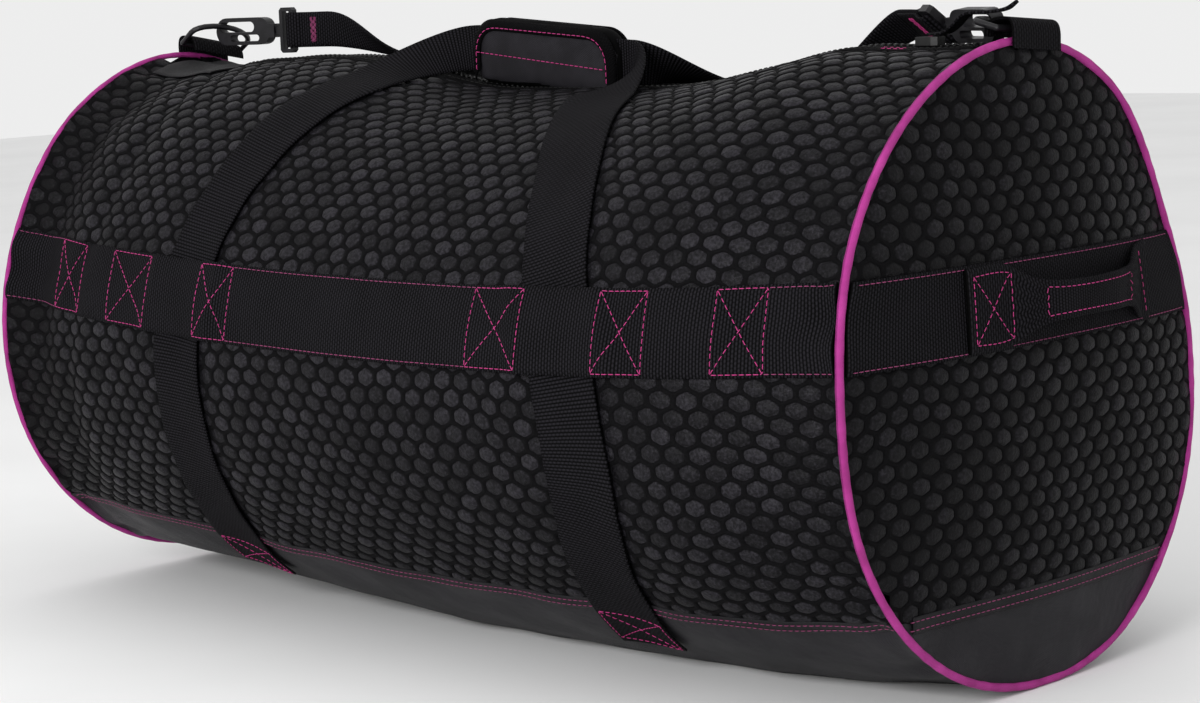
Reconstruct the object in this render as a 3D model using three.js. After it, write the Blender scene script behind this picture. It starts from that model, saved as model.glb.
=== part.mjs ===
// A mesh dive gear bag: a stuffed barrel duffel with net sides, a webbing band, a padded carry
// handle, a shoulder strap on snap hooks and a zip along the top. Millimetres, Z up.
// X runs along the bag, -Y is its front, and the origin is on the floor under its middle.
import * as THREE from 'three';
import { mergeVertices } from 'three/addons/utils/BufferGeometryUtils.js';

// Driving dimensions
const LENGTH = 762; // from rim to rim
const RIM = 188; // nominal radius of the end rims
const CLOTH = 2; // wall of the net and coated panels
const PIPING = 2.5; // radius of the piping cord
const BAND_WIDTH = 50.8;
const BAND_WALL = 1.8;
const LEG_WIDTH = 48; // carry handle webbing
const LEG_WALL = 1.8;
const STRAP_WIDTH = 25.4; // shoulder strap webbing
const STRAP_WALL = 1.8;
const GAP = 0.35; // between pieces sewn or seated edge to edge
const RIM_GAP = 0.7; // between the piping and the end panels
const LAY = 1; // under a piece that lies on the skin
const LEG_LAY = 1.9; // under the handle legs, which cross the skin's folds

// Places on the body
const HALF = LENGTH / 2;
const AXIS = RIM; // height of the barrel's middle line
const END_BULGE = 12; // how far the end panels are pushed out
const BOTTOM_SEAM = 135; // degrees from the top, front and back
const END_SEAM = 61; // height of the seam across the end panels
const BAND_HEIGHT = { middle: 222, rise: 13, slope: 4 }; // height of the band's centre line
const LIFT = { reach: 24, fade: 16 }; // how the band rises over a handle leg
const ZIP = { coil: 4, tape: 14, coilWall: 2.6, tapeWall: 1.4, proud: 0.8 }; // coil is half its width
const ZIP_PATCH = { length: 66, width: 84, wall: 1.2 };

// Carry handle
const WRAP = { start: -57, length: 130, height: 37, thickness: 24, corner: 8, squeeze: 0.12 };
const WRAP_SLOT = { height: 33, thickness: 6.5, corner: 1.5 };
const GRIP_WIDTH = 30; // webbing gathered inside the wrap
const GRIP_LEAD = 4; // straight webbing past each end of the wrap
const LEG_START = 20; // degrees from the top, where a leg comes off the skin
const LEG_END = 150; // degrees from the top, where a leg is sewn under the bottom seam

// Tabs, rings and snap hooks at the two ends of the top
const TAB = { width: 46, height: 13, depth: 15, hem: 5, wall: 1.8 };
const RING = { wire: 2.2, reach: 22, straight: 11, inset: 5, lift: 6.6 };
const HOOK = { length: 58, height: 20, thickness: 8, spine: 3, gate: 2, trigger: 2.6, neck: 5 };
const HOOK_SLOT = { nose: 7.6, noseEnd: 0.66, triggerStart: 0.24, triggerEnd: 0.74 };
const EYE = { neck: 4, length: 13, height: 33, thickness: 5, slotLength: 6.5, bar: 3.5, corner: 2 };
const STRAP_FOLD = 34; // length of the strap end sewn back on itself

// End grab handle and zip slider
const GRAB = { from: -76, to: 106, wall: 2.2 };
const SLIDER = { place: 318, length: 15, width: 11, height: 5, nose: 0.7 };
const PULL_WALL = 2;

// Rim outlines as shares of RIM, every 30 degrees from the top over the front
const rimOutline = [
  { place: 'top', near: 1.010, far: 1.010 },
  { place: 'front upper shoulder', near: 0.995, far: 0.973 },
  { place: 'front lower shoulder', near: 0.963, far: 0.918 },
  { place: 'front', near: 0.915, far: 0.912 },
  { place: 'front upper hip', near: 0.947, far: 0.925 },
  { place: 'front lower hip', near: 0.968, far: 0.934 },
  { place: 'base', near: 0.985, far: 0.938 },
  { place: 'back lower hip', near: 1.020, far: 0.968 },
  { place: 'back upper hip', near: 0.980, far: 0.968 },
  { place: 'back', near: 0.904, far: 0.905 },
  { place: 'back lower shoulder', near: 0.874, far: 0.890 },
  { place: 'back upper shoulder', near: 0.976, far: 0.962 },
];

// How far the stuffed barrel swells past its rims, as shares of RIM, at shares of the half length
const swellColumns = [
  'top', 'frontShoulder', 'front', 'frontHip', 'base', 'backHip', 'back', 'backShoulder',
];
const swellRows = [
  { at: -1.00, top: 0, frontShoulder: 0, front: 0, frontHip: 0,
    base: 0, backHip: 0, back: 0, backShoulder: 0 },
  { at: -0.90, top: -0.055, frontShoulder: -0.022, front: -0.010, frontHip: -0.005,
    base: 0.007, backHip: 0.003, back: 0.005, backShoulder: -0.005 },
  { at: -0.74, top: -0.032, frontShoulder: 0.016, front: 0.045, frontHip: 0.013,
    base: 0.018, backHip: 0.015, back: 0.055, backShoulder: 0.021 },
  { at: -0.42, top: -0.025, frontShoulder: 0.020, front: 0.095, frontHip: 0.048,
    base: 0.060, backHip: 0.040, back: 0.100, backShoulder: 0.038 },
  { at: -0.10, top: -0.128, frontShoulder: -0.010, front: 0.115, frontHip: 0.078,
    base: 0.087, backHip: 0.050, back: 0.120, backShoulder: 0.025 },
  { at: 0.12, top: -0.140, frontShoulder: -0.019, front: 0.125, frontHip: 0.085,
    base: 0.086, backHip: 0.055, back: 0.135, backShoulder: 0.021 },
  { at: 0.42, top: -0.117, frontShoulder: -0.004, front: 0.130, frontHip: 0.081,
    base: 0.079, backHip: 0.050, back: 0.140, backShoulder: 0.027 },
  { at: 0.70, top: -0.015, frontShoulder: 0.021, front: 0.100, frontHip: 0.062,
    base: 0.062, backHip: 0.040, back: 0.096, backShoulder: 0.043 },
  { at: 0.90, top: -0.020, frontShoulder: -0.022, front: 0.020, frontHip: 0.018,
    base: 0.017, backHip: 0.017, back: 0.021, backShoulder: 0.005 },
  { at: 1.00, top: 0, frontShoulder: 0, front: 0, frontHip: 0,
    base: 0, backHip: 0, back: 0, backShoulder: 0 },
];

// Where the cloth is divided along the bag, as shares of the half length, finer in the valleys
const stations = [-1, -0.965, -0.93, -0.89, -0.84, -0.77, -0.67, -0.55, -0.42, -0.29, -0.17, -0.05,
  0.12, 0.27, 0.42, 0.54, 0.64, 0.73, 0.81, 0.87, 0.92, 0.96, 1];

// Centre lines of the carry handle's legs, as shares of the half length, at degrees from the top
const legRows = [
  { angle: 20, left: -0.297, right: 0.276 },
  { angle: 40, left: -0.352, right: 0.362 },
  { angle: 60, left: -0.396, right: 0.438 },
  { angle: 85, left: -0.428, right: 0.509 },
  { angle: 105, left: -0.441, right: 0.528 },
  { angle: 125, left: -0.462, right: 0.493 },
  { angle: 150, left: -0.512, right: 0.446 },
];

// The shoulder strap's run over the back shoulder: share of the half length, degrees from the top
const strapRows = [
  { at: -0.46, angle: -17 },
  { at: -0.34, angle: -24 },
  { at: -0.10, angle: -33 },
  { at: 0.32, angle: -33 },
  { at: 0.46, angle: -27 },
  { at: 0.56, angle: -20 },
];

// The end grab handle along its length: share of the length, width as a share of the band's, stand-off
const grabRows = [
  { at: 0, width: 0.94, lift: 0 },
  { at: 0.19, width: 0.94, lift: 0 },
  { at: 0.30, width: 0.56, lift: 6 },
  { at: 0.42, width: 0.44, lift: 13 },
  { at: 0.68, width: 0.44, lift: 13 },
  { at: 0.84, width: 0.52, lift: 6 },
  { at: 0.93, width: 0.84, lift: 0.4 },
  { at: 1, width: 0.94, lift: 0 },
];

// The zip pull's tongue, in millimetres from the slider: it rises to a point beside the near ring
const pullRows = [
  { along: 0, aside: 0, up: 0, width: 10 },
  { along: 12, aside: -2, up: 1, width: 10 },
  { along: 21, aside: -4, up: 5, width: 10 },
  { along: 31, aside: -5, up: 11.8, width: 9 },
  { along: 46, aside: -4, up: 12.4, width: 7 },
  { along: 56, aside: -2, up: 14, width: 5 },
  { along: 62, aside: 0, up: 18, width: 2 },
];

// The two ends of the bag, with the tab, ring, hook and eye of each; the eye turns on the hook's swivel
const near = { name: 'near', side: 1, tabMiddle: 11, ringRise: 6, lean: 9, eyeLean: 50, yaw: 25 };
const far = { name: 'far', side: -1, tabMiddle: 26, ringRise: 15, lean: 0, eyeLean: 0, yaw: 7 };

const V = (x, y, z) => new THREE.Vector3(x, y, z);
const mix = (a, b, t) => a + (b - a) * t;
const clamp01 = (t) => Math.min(1, Math.max(0, t));
const smooth = (t) => clamp01(t) ** 2 * (3 - 2 * clamp01(t));
const steps = (from, to, count) => Array.from({ length: count + 1 }, (_, i) => mix(from, to, i / count));
const perDegree = (radius) => (radius * Math.PI) / 180;

// Smooth curve through rows of values at uneven places
function through(places, values, place) {
  const last = places.length - 1;
  const x = Math.min(places[last], Math.max(places[0], place));
  let i = 0;
  while (i < last - 1 && x > places[i + 1]) i += 1;
  const slope = (k) => {
    const a = Math.max(0, k - 1);
    const b = Math.min(last, k + 1);
    return (values[b] - values[a]) / (places[b] - places[a]);
  };
  const span = places[i + 1] - places[i];
  const t = (x - places[i]) / span;
  return (2 * t ** 3 - 3 * t ** 2 + 1) * values[i] + (t ** 3 - 2 * t ** 2 + t) * span * slope(i)
    + (3 * t ** 2 - 2 * t ** 3) * values[i + 1] + (t ** 3 - t ** 2) * span * slope(i + 1);
}

// Smooth closed curve through values spaced evenly round the barrel
function around(values, degrees) {
  const count = values.length;
  const place = ((((degrees % 360) + 360) % 360) / 360) * count;
  const i = Math.floor(place) % count;
  const t = place - Math.floor(place);
  const [a, b, c, d] = [i - 1, i, i + 1, i + 2].map((k) => values[(k + count) % count]);
  const square = 2 * a - 5 * b + 4 * c - d;
  const cube = 3 * b - a - 3 * c + d;
  return (2 * b + (c - a) * t + square * t ** 2 + cube * t ** 3) / 2;
}

const swellPlaces = swellRows.map((row) => row.at);
const swellTable = swellColumns.map((name) => swellRows.map((row) => row[name]));

function skinRadius(x, degrees) {
  const share = x / HALF;
  const nearRim = around(rimOutline.map((row) => row.near), degrees);
  const farRim = around(rimOutline.map((row) => row.far), degrees);
  const swell = around(swellTable.map((column) => through(swellPlaces, column, share)), degrees);
  return RIM * (mix(farRim, nearRim, (share + 1) / 2) + swell);
}

// Lowest height of the skin: the sole is flat on the floor and the piping lifts it at the rims
function floorHeight(x) {
  const rise = smooth((Math.abs(x) / HALF - 0.93) / 0.07);
  return (PIPING + 0.1) * rise;
}

// Point on the skin at a place along the bag and an angle from the top over the front
function skin(x, degrees, offset = 0) {
  const angle = THREE.MathUtils.degToRad(degrees);
  const radius = skinRadius(x, degrees) + offset;
  const lowest = floorHeight(x) - Math.min(0, offset);
  return V(x, -radius * Math.sin(angle), Math.max(lowest, AXIS + radius * Math.cos(angle)));
}

// Height of the skin's upper face, at a distance from the middle line
function topHeight(x, y = 0) {
  return skin(x, THREE.MathUtils.radToDeg(Math.atan2(-y, skinRadius(x, 0)))).z;
}

// Angle at which the skin has a given height, on the front (side 1) or the back (side -1)
function angleAtHeight(x, height, side) {
  let degrees = 90 * side;
  for (let i = 0; i < 12; i += 1) {
    const cosine = (height - AXIS) / skinRadius(x, degrees);
    degrees = side * THREE.MathUtils.radToDeg(Math.acos(cosine));
  }
  return degrees;
}

// Geometry from raw triangles: shared corners merged, collapsed triangles dropped, faces outward
function solid(positions, index) {
  const raw = new THREE.BufferGeometry();
  raw.setAttribute('position', new THREE.Float32BufferAttribute(positions, 3));
  raw.setIndex(index);
  const merged = mergeVertices(raw, 1e-3);
  const corners = merged.index.array;
  const kept = [];
  for (let i = 0; i < corners.length; i += 3) {
    const [a, b, c] = [corners[i], corners[i + 1], corners[i + 2]];
    if (a !== b && b !== c && c !== a) kept.push(a, b, c);
  }
  const place = merged.attributes.position;
  const point = (k) => V(place.getX(k), place.getY(k), place.getZ(k));
  let volume = 0;
  for (let i = 0; i < kept.length; i += 3) {
    volume += point(kept[i]).dot(point(kept[i + 1]).cross(point(kept[i + 2])));
  }
  if (volume < 0) kept.reverse();
  merged.setIndex(kept);
  merged.computeVertexNormals();
  return merged;
}

// Solid from a library geometry, of which only the places are kept
function plainSolid(geometry) {
  geometry.deleteAttribute('normal');
  geometry.deleteAttribute('uv');
  const plain = mergeVertices(geometry, 1e-3);
  return solid(Array.from(plain.attributes.position.array), Array.from(plain.index.array));
}

// Closed shell between a grid of points and a second grid beside it
function shell(face, back) {
  const rows = face.length;
  const columns = face[0].length;
  const positions = [face, back].flat(2).flatMap((p) => [p.x, p.y, p.z]);
  const at = (layer, i, j) => layer * rows * columns + i * columns + j;
  const index = [];
  const quad = (a, b, c, d) => index.push(a, b, c, a, c, d);
  for (let i = 0; i < rows - 1; i += 1) {
    for (let j = 0; j < columns - 1; j += 1) {
      quad(at(0, i, j), at(0, i + 1, j), at(0, i + 1, j + 1), at(0, i, j + 1));
      quad(at(1, i, j), at(1, i, j + 1), at(1, i + 1, j + 1), at(1, i + 1, j));
    }
  }
  const [lastRow, lastColumn] = [rows - 1, columns - 1];
  for (let i = 0; i < lastRow; i += 1) {
    quad(at(0, i, 0), at(1, i, 0), at(1, i + 1, 0), at(0, i + 1, 0));
    quad(at(0, i, lastColumn), at(0, i + 1, lastColumn), at(1, i + 1, lastColumn), at(1, i, lastColumn));
  }
  for (let j = 0; j < lastColumn; j += 1) {
    quad(at(0, 0, j), at(0, 0, j + 1), at(1, 0, j + 1), at(1, 0, j));
    quad(at(0, lastRow, j), at(1, lastRow, j), at(1, lastRow, j + 1), at(0, lastRow, j + 1));
  }
  return solid(positions, index);
}

// Closed surface through rings of points, each joined to the next and the last to the first
function tube(rings) {
  const sides = rings[0].length;
  const positions = rings.flatMap((ring) => ring.flatMap((p) => [p.x, p.y, p.z]));
  const index = [];
  rings.forEach((_, i) => {
    const [here, next] = [i * sides, ((i + 1) % rings.length) * sides];
    for (let k = 0; k < sides; k += 1) {
      const m = (k + 1) % sides;
      index.push(here + k, here + m, next + m, here + k, next + m, next + k);
    }
  });
  return solid(positions, index);
}

// Round section swept along a closed loop that lies in a plane with the given normal
function loopTube(points, radius, sides, normal) {
  const count = points.length;
  return tube(points.map((p, i) => {
    const along = points[(i + 1) % count].clone().sub(points[(i - 1 + count) % count]).normalize();
    const out = along.cross(normal).normalize();
    return steps(0, 2 * Math.PI, sides).slice(0, -1).map((angle) => p.clone()
      .addScaledVector(out, radius * Math.cos(angle))
      .addScaledVector(normal, radius * Math.sin(angle)));
  }));
}

// Unit normals of a grid of points, from its neighbours
function gridNormals(grid) {
  const rows = grid.length - 1;
  const columns = grid[0].length - 1;
  return grid.map((row, i) => row.map((_, j) => {
    const along = grid[Math.min(rows, i + 1)][j].clone().sub(grid[Math.max(0, i - 1)][j]);
    const across = grid[i][Math.min(columns, j + 1)].clone().sub(grid[i][Math.max(0, j - 1)]);
    return along.cross(across).normalize();
  }));
}

// Webbing whose middle surface is the grid
function ribbon(grid, wall) {
  const normals = gridNormals(grid);
  const layer = (distance) => grid.map((row, i) => row.map((p, j) => p.clone()
    .addScaledVector(normals[i][j], distance)));
  return shell(layer(wall / 2), layer(-wall / 2));
}

// Cloth along the skin, with one face at an offset from it and the other a wall further out
function skinPatch(places, anglesAt, offset, wall) {
  const layer = (distance) => places.map((x) => anglesAt(x).map((degrees) => skin(x, degrees, distance)));
  return shell(layer(offset), layer(offset + wall));
}

const sideEnd = HALF - PIPING - GAP; // where the side panels stop short of the piping
const sidePlaces = stations.map((share) => share * sideEnd);
const seamGap = GAP / 2 / perDegree(RIM); // degrees from a seam line to a panel's edge

// Net panel of one side, from the zip tape down to the bottom seam, with its outer face on the skin
function netPanel(side) {
  const top = (x) => (ZIP.coil + ZIP.tape + 2 * GAP) / perDegree(skinRadius(x, 0));
  return skinPatch(sidePlaces, (x) => steps(side * top(x), side * (BOTTOM_SEAM - seamGap), 14), 0, -CLOTH);
}

function bottomPanel() {
  const angles = steps(BOTTOM_SEAM + seamGap, 360 - BOTTOM_SEAM - seamGap, 9);
  return skinPatch(sidePlaces, () => angles, 0, -CLOTH);
}

// Face of an end panel: side 1 is the near end, -1 the far end
function endFace(side, y, z, offset = 0) {
  const degrees = THREE.MathUtils.radToDeg(Math.atan2(-y, z - AXIS));
  const reach = Math.hypot(y, z - AXIS) / skinRadius(side * HALF, degrees);
  return V(side * (HALF + CLOTH / 2 + END_BULGE * Math.max(0, 1 - reach ** 2) + offset), y, z);
}

// Outline of an end panel, just inside the piping
function endOutline(side, degrees) {
  const angle = THREE.MathUtils.degToRad(degrees);
  const radius = skinRadius(side * HALF, degrees) - PIPING - RIM_GAP;
  const lowest = floorHeight(HALF) + PIPING + RIM_GAP;
  return V(side * HALF, -radius * Math.sin(angle), Math.max(lowest, AXIS + radius * Math.cos(angle)));
}

// Angle at which an end panel's outline crosses a height, on the front (face 1) or the back (face -1)
function outlineAngle(side, height, face) {
  let [upper, lower] = [30 * face, 180 * face];
  for (let i = 0; i < 30; i += 1) {
    const middle = (upper + lower) / 2;
    if (endOutline(side, middle).z > height) upper = middle;
    else lower = middle;
  }
  return upper;
}

// Part of an end panel above or below its seam, between the seam line and the outline
function endPanel(side, isUpper, columns, rows) {
  const seam = END_SEAM + (isUpper ? GAP / 2 : -GAP / 2);
  const front = outlineAngle(side, seam, 1);
  const back = outlineAngle(side, seam, -1);
  const outline = (isUpper ? steps(back, front, columns) : steps(front, back + 360, columns))
    .map((degrees) => endOutline(side, degrees));
  const first = outline[0];
  const last = outline[columns];
  const grid = outline.map((rim, i) => steps(0, 1, rows).map((s) => ({
    y: mix(mix(first.y, last.y, i / columns), rim.y, s),
    z: mix(seam, i === 0 || i === columns ? seam : rim.z, s),
  })));
  const layer = (offset) => grid.map((row) => row.map((p) => endFace(side, p.y, p.z, offset)));
  return shell(layer(0), layer(-CLOTH));
}

function piping(side) {
  const angles = steps(0, 360, 44).slice(0, -1);
  return loopTube(angles.map((degrees) => skin(side * HALF, degrees)), PIPING, 6, V(1, 0, 0));
}

// Height of the band's centre line along the sides
function bandHeight(x) {
  const share = x / HALF;
  return BAND_HEIGHT.middle + BAND_HEIGHT.rise * share ** 2 - BAND_HEIGHT.slope * share;
}

const legPlaces = legRows.map((row) => row.angle);
const legX = (name, degrees) => HALF * through(legPlaces, legRows.map((row) => row[name]), Math.abs(degrees));

// How far the band is lifted where a handle leg runs under it
function bandLift(x, degrees) {
  const nearest = Math.min(...['left', 'right'].map((name) => Math.abs(x - legX(name, degrees))));
  return (LEG_LAY + LEG_WALL) * smooth((LEG_WIDTH / 2 + LIFT.reach - nearest) / LIFT.fade);
}

// Places along the band: the cloth's own, and closer ones where it rises over the legs
function bandPlaces() {
  const angle = angleAtHeight(0, BAND_HEIGHT.middle, 1);
  const risen = LEG_WIDTH / 2 + LIFT.reach;
  const extra = ['left', 'right'].flatMap((name) => [-risen, LIFT.fade - risen, 0, risen - LIFT.fade, risen]
    .map((distance) => legX(name, angle) + distance));
  const plain = sidePlaces
    .filter((x) => extra.every((other) => Math.abs(other - x) > LIFT.fade / 2));
  return [...plain, ...extra].sort((a, b) => a - b);
}

function sideBand(side) {
  const layer = (offset) => bandPlaces().map((x) => {
    const centre = angleAtHeight(x, bandHeight(x), side);
    const half = BAND_WIDTH / 2 / perDegree(skinRadius(x, centre));
    return steps(centre - half, centre + half, 3)
      .map((degrees) => skin(x, degrees, offset + bandLift(x, degrees)));
  });
  return shell(layer(LAY), layer(LAY + BAND_WALL));
}

function endBand(side) {
  const middle = bandHeight(side * HALF);
  const edge = (height, face) => endOutline(side, angleAtHeight(side * HALF, height, face)).y;
  const reach = (height, face) => edge(height, face) + face * RIM_GAP;
  const layer = (offset) => steps(0, 1, 14).map((t) => steps(-0.5, 0.5, 2).map((s) => {
    const height = middle + s * BAND_WIDTH;
    return endFace(side, mix(reach(height, 1), reach(height, -1), t), height, offset);
  }));
  return shell(layer(LAY), layer(LAY + BAND_WALL));
}

function grabHandle(side) {
  const height = bandHeight(side * HALF);
  const base = LAY * 2 + BAND_WALL;
  const places = grabRows.map((row) => row.at);
  const layer = (offset) => steps(0, 1, 22).map((t) => {
    const y = mix(GRAB.from, GRAB.to, t);
    const half = (BAND_WIDTH * through(places, grabRows.map((row) => row.width), t)) / 2;
    const lift = Math.max(0, through(places, grabRows.map((row) => row.lift), t));
    return [-1, 0, 1].map((s) => endFace(side, y, height + s * half, base + lift + offset));
  });
  return shell(layer(0), layer(GRAB.wall));
}

// The wrap rests on the sagging top, over the zip's coil
const wrapBase = Math.max(topHeight(WRAP.start), topHeight(WRAP.start + WRAP.length)) + ZIP.proud + LAY;
const gripHeight = wrapBase + WRAP.height / 2;
const gripOffset = (LEG_WALL + LAY) / 2; // of each webbing from the middle of the wrap

// Middle surface of one leg on the skin, from where it leaves the skin down to its sewn end
function legGrid(name, side, count) {
  return steps(LEG_START, LEG_END, count).map((angle) => {
    const x = legX(name, angle);
    const arc = perDegree(skinRadius(x, angle * side));
    const slope = (legX(name, angle + 1) - legX(name, angle - 1)) / 2 / arc;
    const across = V(1, -slope, 0).normalize();
    return [-0.5, 0, 0.5].map((s) => {
      const degrees = angle + (s * LEG_WIDTH * across.y) / arc;
      return skin(x + s * LEG_WIDTH * across.x, degrees * side, LEG_LAY + LEG_WALL / 2);
    });
  });
}

// Smooth bridge between two rows of points that run on in given directions
function bridge(fromRow, fromWay, toRow, toWay, count) {
  return steps(0, 1, count).slice(1, -1).map((t) => fromRow.map((p, j) => {
    const pull = p.distanceTo(toRow[j]);
    return p.clone().multiplyScalar(2 * t ** 3 - 3 * t ** 2 + 1)
      .addScaledVector(fromWay, (t ** 3 - 2 * t ** 2 + t) * pull)
      .addScaledVector(toRow[j], 3 * t ** 2 - 2 * t ** 3)
      .addScaledVector(toWay, (t ** 3 - t ** 2) * pull);
  }));
}

const wayBetween = (fromRow, toRow) => toRow[1].clone().sub(fromRow[1]).normalize();

// Carry handle webbing of one side: up a leg, through the wrap and down the other leg
function handleStrap(side) {
  const left = legGrid('left', side, 15).reverse();
  const right = legGrid('right', side, 15).map((row) => [...row].reverse());
  const wrapEnds = [WRAP.start - GRIP_LEAD, WRAP.start + WRAP.length + GRIP_LEAD];
  const grip = wrapEnds.map((x) => [0.5, 0, -0.5]
    .map((s) => V(x, -side * gripOffset, gripHeight + s * GRIP_WIDTH)));
  const inside = steps(0, 1, 2).map((t) => grip[0].map((p, j) => p.clone().lerp(grip[1][j], t)));
  const straight = V(1, 0, 0);
  const up = bridge(left.at(-1), wayBetween(left.at(-2), left.at(-1)), grip[0], straight, 8);
  const down = bridge(grip[1], straight, right[0], wayBetween(right[0], right[1]), 8);
  return ribbon([...left, ...up, ...inside, ...down, ...right], LEG_WALL);
}

// Rounded rectangle across the wrap, as points about its middle
function wrapSection(height, thickness, corner) {
  const [y, z] = [thickness / 2 - corner, height / 2 - corner];
  const corners = [[y, z, 0], [-y, z, 90], [-y, -z, 180], [y, -z, 270]];
  return corners.flatMap(([centreY, centreZ, start]) => steps(start, start + 90, 2).map((degrees) => {
    const angle = THREE.MathUtils.degToRad(degrees);
    return V(0, centreY + corner * Math.cos(angle), centreZ + corner * Math.sin(angle));
  }));
}

// Padded sleeve closed round both handle webbings, drawn in at its two ends
function handleWrap() {
  const outer = wrapSection(WRAP.height, WRAP.thickness, WRAP.corner);
  const inner = wrapSection(WRAP_SLOT.height, WRAP_SLOT.thickness, WRAP_SLOT.corner);
  const ring = (points, t, size) => points.map((p) => V(
    WRAP.start + WRAP.length * t, p.y * size, gripHeight + p.z * size));
  const places = steps(0, 1, 7);
  const face = places.map((t) => ring(outer, t, 1 - WRAP.squeeze * (2 * t - 1) ** 6));
  const back = places.map((t) => ring(inner, t, 1)).reverse();
  return tube([...face, ...back]);
}

const zipEnd = sideEnd - TAB.depth - GAP; // the zip stops short of the tabs

// Strip of cloth along the top line, between two distances from it
function topStrip(from, to, offset, wall) {
  const angles = (x) => [from, to].map((distance) => distance / perDegree(skinRadius(x, 0)));
  return skinPatch(stations.map((share) => share * zipEnd), angles, offset, wall);
}

function zipTape(side) {
  const inner = ZIP.coil + GAP;
  return topStrip(side * inner, side * (inner + ZIP.tape), -ZIP.tapeWall, ZIP.tapeWall);
}

const zipCoil = () => topStrip(-ZIP.coil, ZIP.coil, ZIP.proud - ZIP.coilWall, ZIP.coilWall);

// Plain reinforcing patch over the far end of the zip
function zipPatch() {
  const half = ZIP_PATCH.width / 2;
  const angles = (x) => steps(-half, half, 8).map((distance) => distance / perDegree(skinRadius(x, 0)));
  return skinPatch(steps(-zipEnd, ZIP_PATCH.length - zipEnd, 6), angles, ZIP.proud + LAY, ZIP_PATCH.wall);
}

// Height of the rim under a tab, as a straight line across the tab
function tabHeight(end, y) {
  const rimX = end.side * HALF;
  const edges = [-0.5, 0.5].map((s) => topHeight(rimX, end.tabMiddle + s * TAB.width));
  return topHeight(rimX, end.tabMiddle) + ((edges[1] - edges[0]) * (y - end.tabMiddle)) / TAB.width;
}

// Folded webbing tab over the rim
function tab(end) {
  const top = TAB.height - TAB.wall / 2;
  const outside = PIPING + GAP + TAB.wall / 2;
  const profile = [
    { dx: outside, dz: -TAB.hem },
    { dx: outside, dz: 0 },
    { dx: outside, dz: top * 0.45 },
    { dx: outside - 1.2, dz: top * 0.82 },
    { dx: outside - 4.5, dz: top },
    { dx: -TAB.depth * 0.45, dz: top },
    { dx: -TAB.depth * 0.8, dz: top * 0.86 },
    { dx: -TAB.depth * 0.97, dz: top * 0.5 },
    { dx: -TAB.depth, dz: LAY + TAB.wall / 2 },
  ];
  return ribbon(profile.map(({ dx, dz }) => steps(-0.5, 0.5, 4).map((s) => {
    const y = end.tabMiddle + s * TAB.width;
    return V(end.side * (HALF + dx), y, tabHeight(end, y) + dz);
  })), TAB.wall);
}

// Point of a ring, at a distance from its straight bar and a place along it
function ringPoint(end, reach, along) {
  const y = end.tabMiddle + along;
  const height = tabHeight(end, y) + RING.lift + (end.ringRise * reach) / RING.reach;
  return V(end.side * (HALF - RING.inset - reach), y, height);
}
const ringTip = (end) => ringPoint(end, RING.reach, 0);

// D-shaped ring whose straight bar is held in the tab
function ringLoop(end) {
  const half = TAB.width / 2 + RING.wire + LAY;
  const bar = steps(-half, half, 3).map((along) => [0, along]);
  const bow = steps(90, -90, 12).map((degrees) => {
    const angle = THREE.MathUtils.degToRad(degrees);
    return [RING.straight + (RING.reach - RING.straight) * Math.cos(angle), half * Math.sin(angle)];
  });
  const across = ringPoint(end, 0, half).sub(ringPoint(end, 0, -half));
  const normal = ringTip(end).sub(ringPoint(end, 0, 0)).cross(across).normalize();
  const line = [...bar, ...bow].map(([reach, along]) => ringPoint(end, reach, along));
  return loopTube(line, RING.wire, 6, normal);
}

const hookTop = HOOK.height / 2;
const noseSlotLow = hookTop - HOOK.spine - HOOK_SLOT.nose;

// Slot with round ends, as a hole in a shape
function roundSlot(left, right, low, high) {
  const hole = new THREE.Path();
  const radius = (high - low) / 2;
  hole.absarc(left + radius, low + radius, radius, Math.PI / 2, Math.PI * 1.5, false);
  hole.absarc(right - radius, low + radius, radius, -Math.PI / 2, Math.PI / 2, false);
  hole.closePath();
  return hole;
}

// Snap hook in its own plane, X from its nose to its neck and Y up: a spine over the nose slot,
// the sprung gate under it and the trigger frame below
function hookShape() {
  const shoulder = HOOK.length - 16;
  const neckStart = HOOK.length - 6;
  const shape = new THREE.Shape();
  shape.absarc(hookTop, 0, hookTop, Math.PI / 2, Math.PI * 1.5, false);
  shape.lineTo(shoulder, -hookTop);
  shape.quadraticCurveTo(neckStart - 2, -hookTop, neckStart, -HOOK.neck);
  shape.lineTo(HOOK.length, -HOOK.neck);
  shape.lineTo(HOOK.length, HOOK.neck);
  shape.lineTo(neckStart, HOOK.neck);
  shape.quadraticCurveTo(neckStart - 2, hookTop, shoulder, hookTop);
  shape.closePath();
  shape.holes.push(
    roundSlot(HOOK.spine, HOOK.length * HOOK_SLOT.noseEnd, noseSlotLow, hookTop - HOOK.spine),
    roundSlot(HOOK.length * HOOK_SLOT.triggerStart, HOOK.length * HOOK_SLOT.triggerEnd,
      HOOK.trigger - hookTop, noseSlotLow - HOOK.gate),
  );
  return shape;
}

const eyeStart = HOOK.length + GAP;
const eyeEnd = eyeStart + EYE.neck + EYE.length;
const flat = (points) => points.map(([x, y]) => new THREE.Vector2(x, y));

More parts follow.
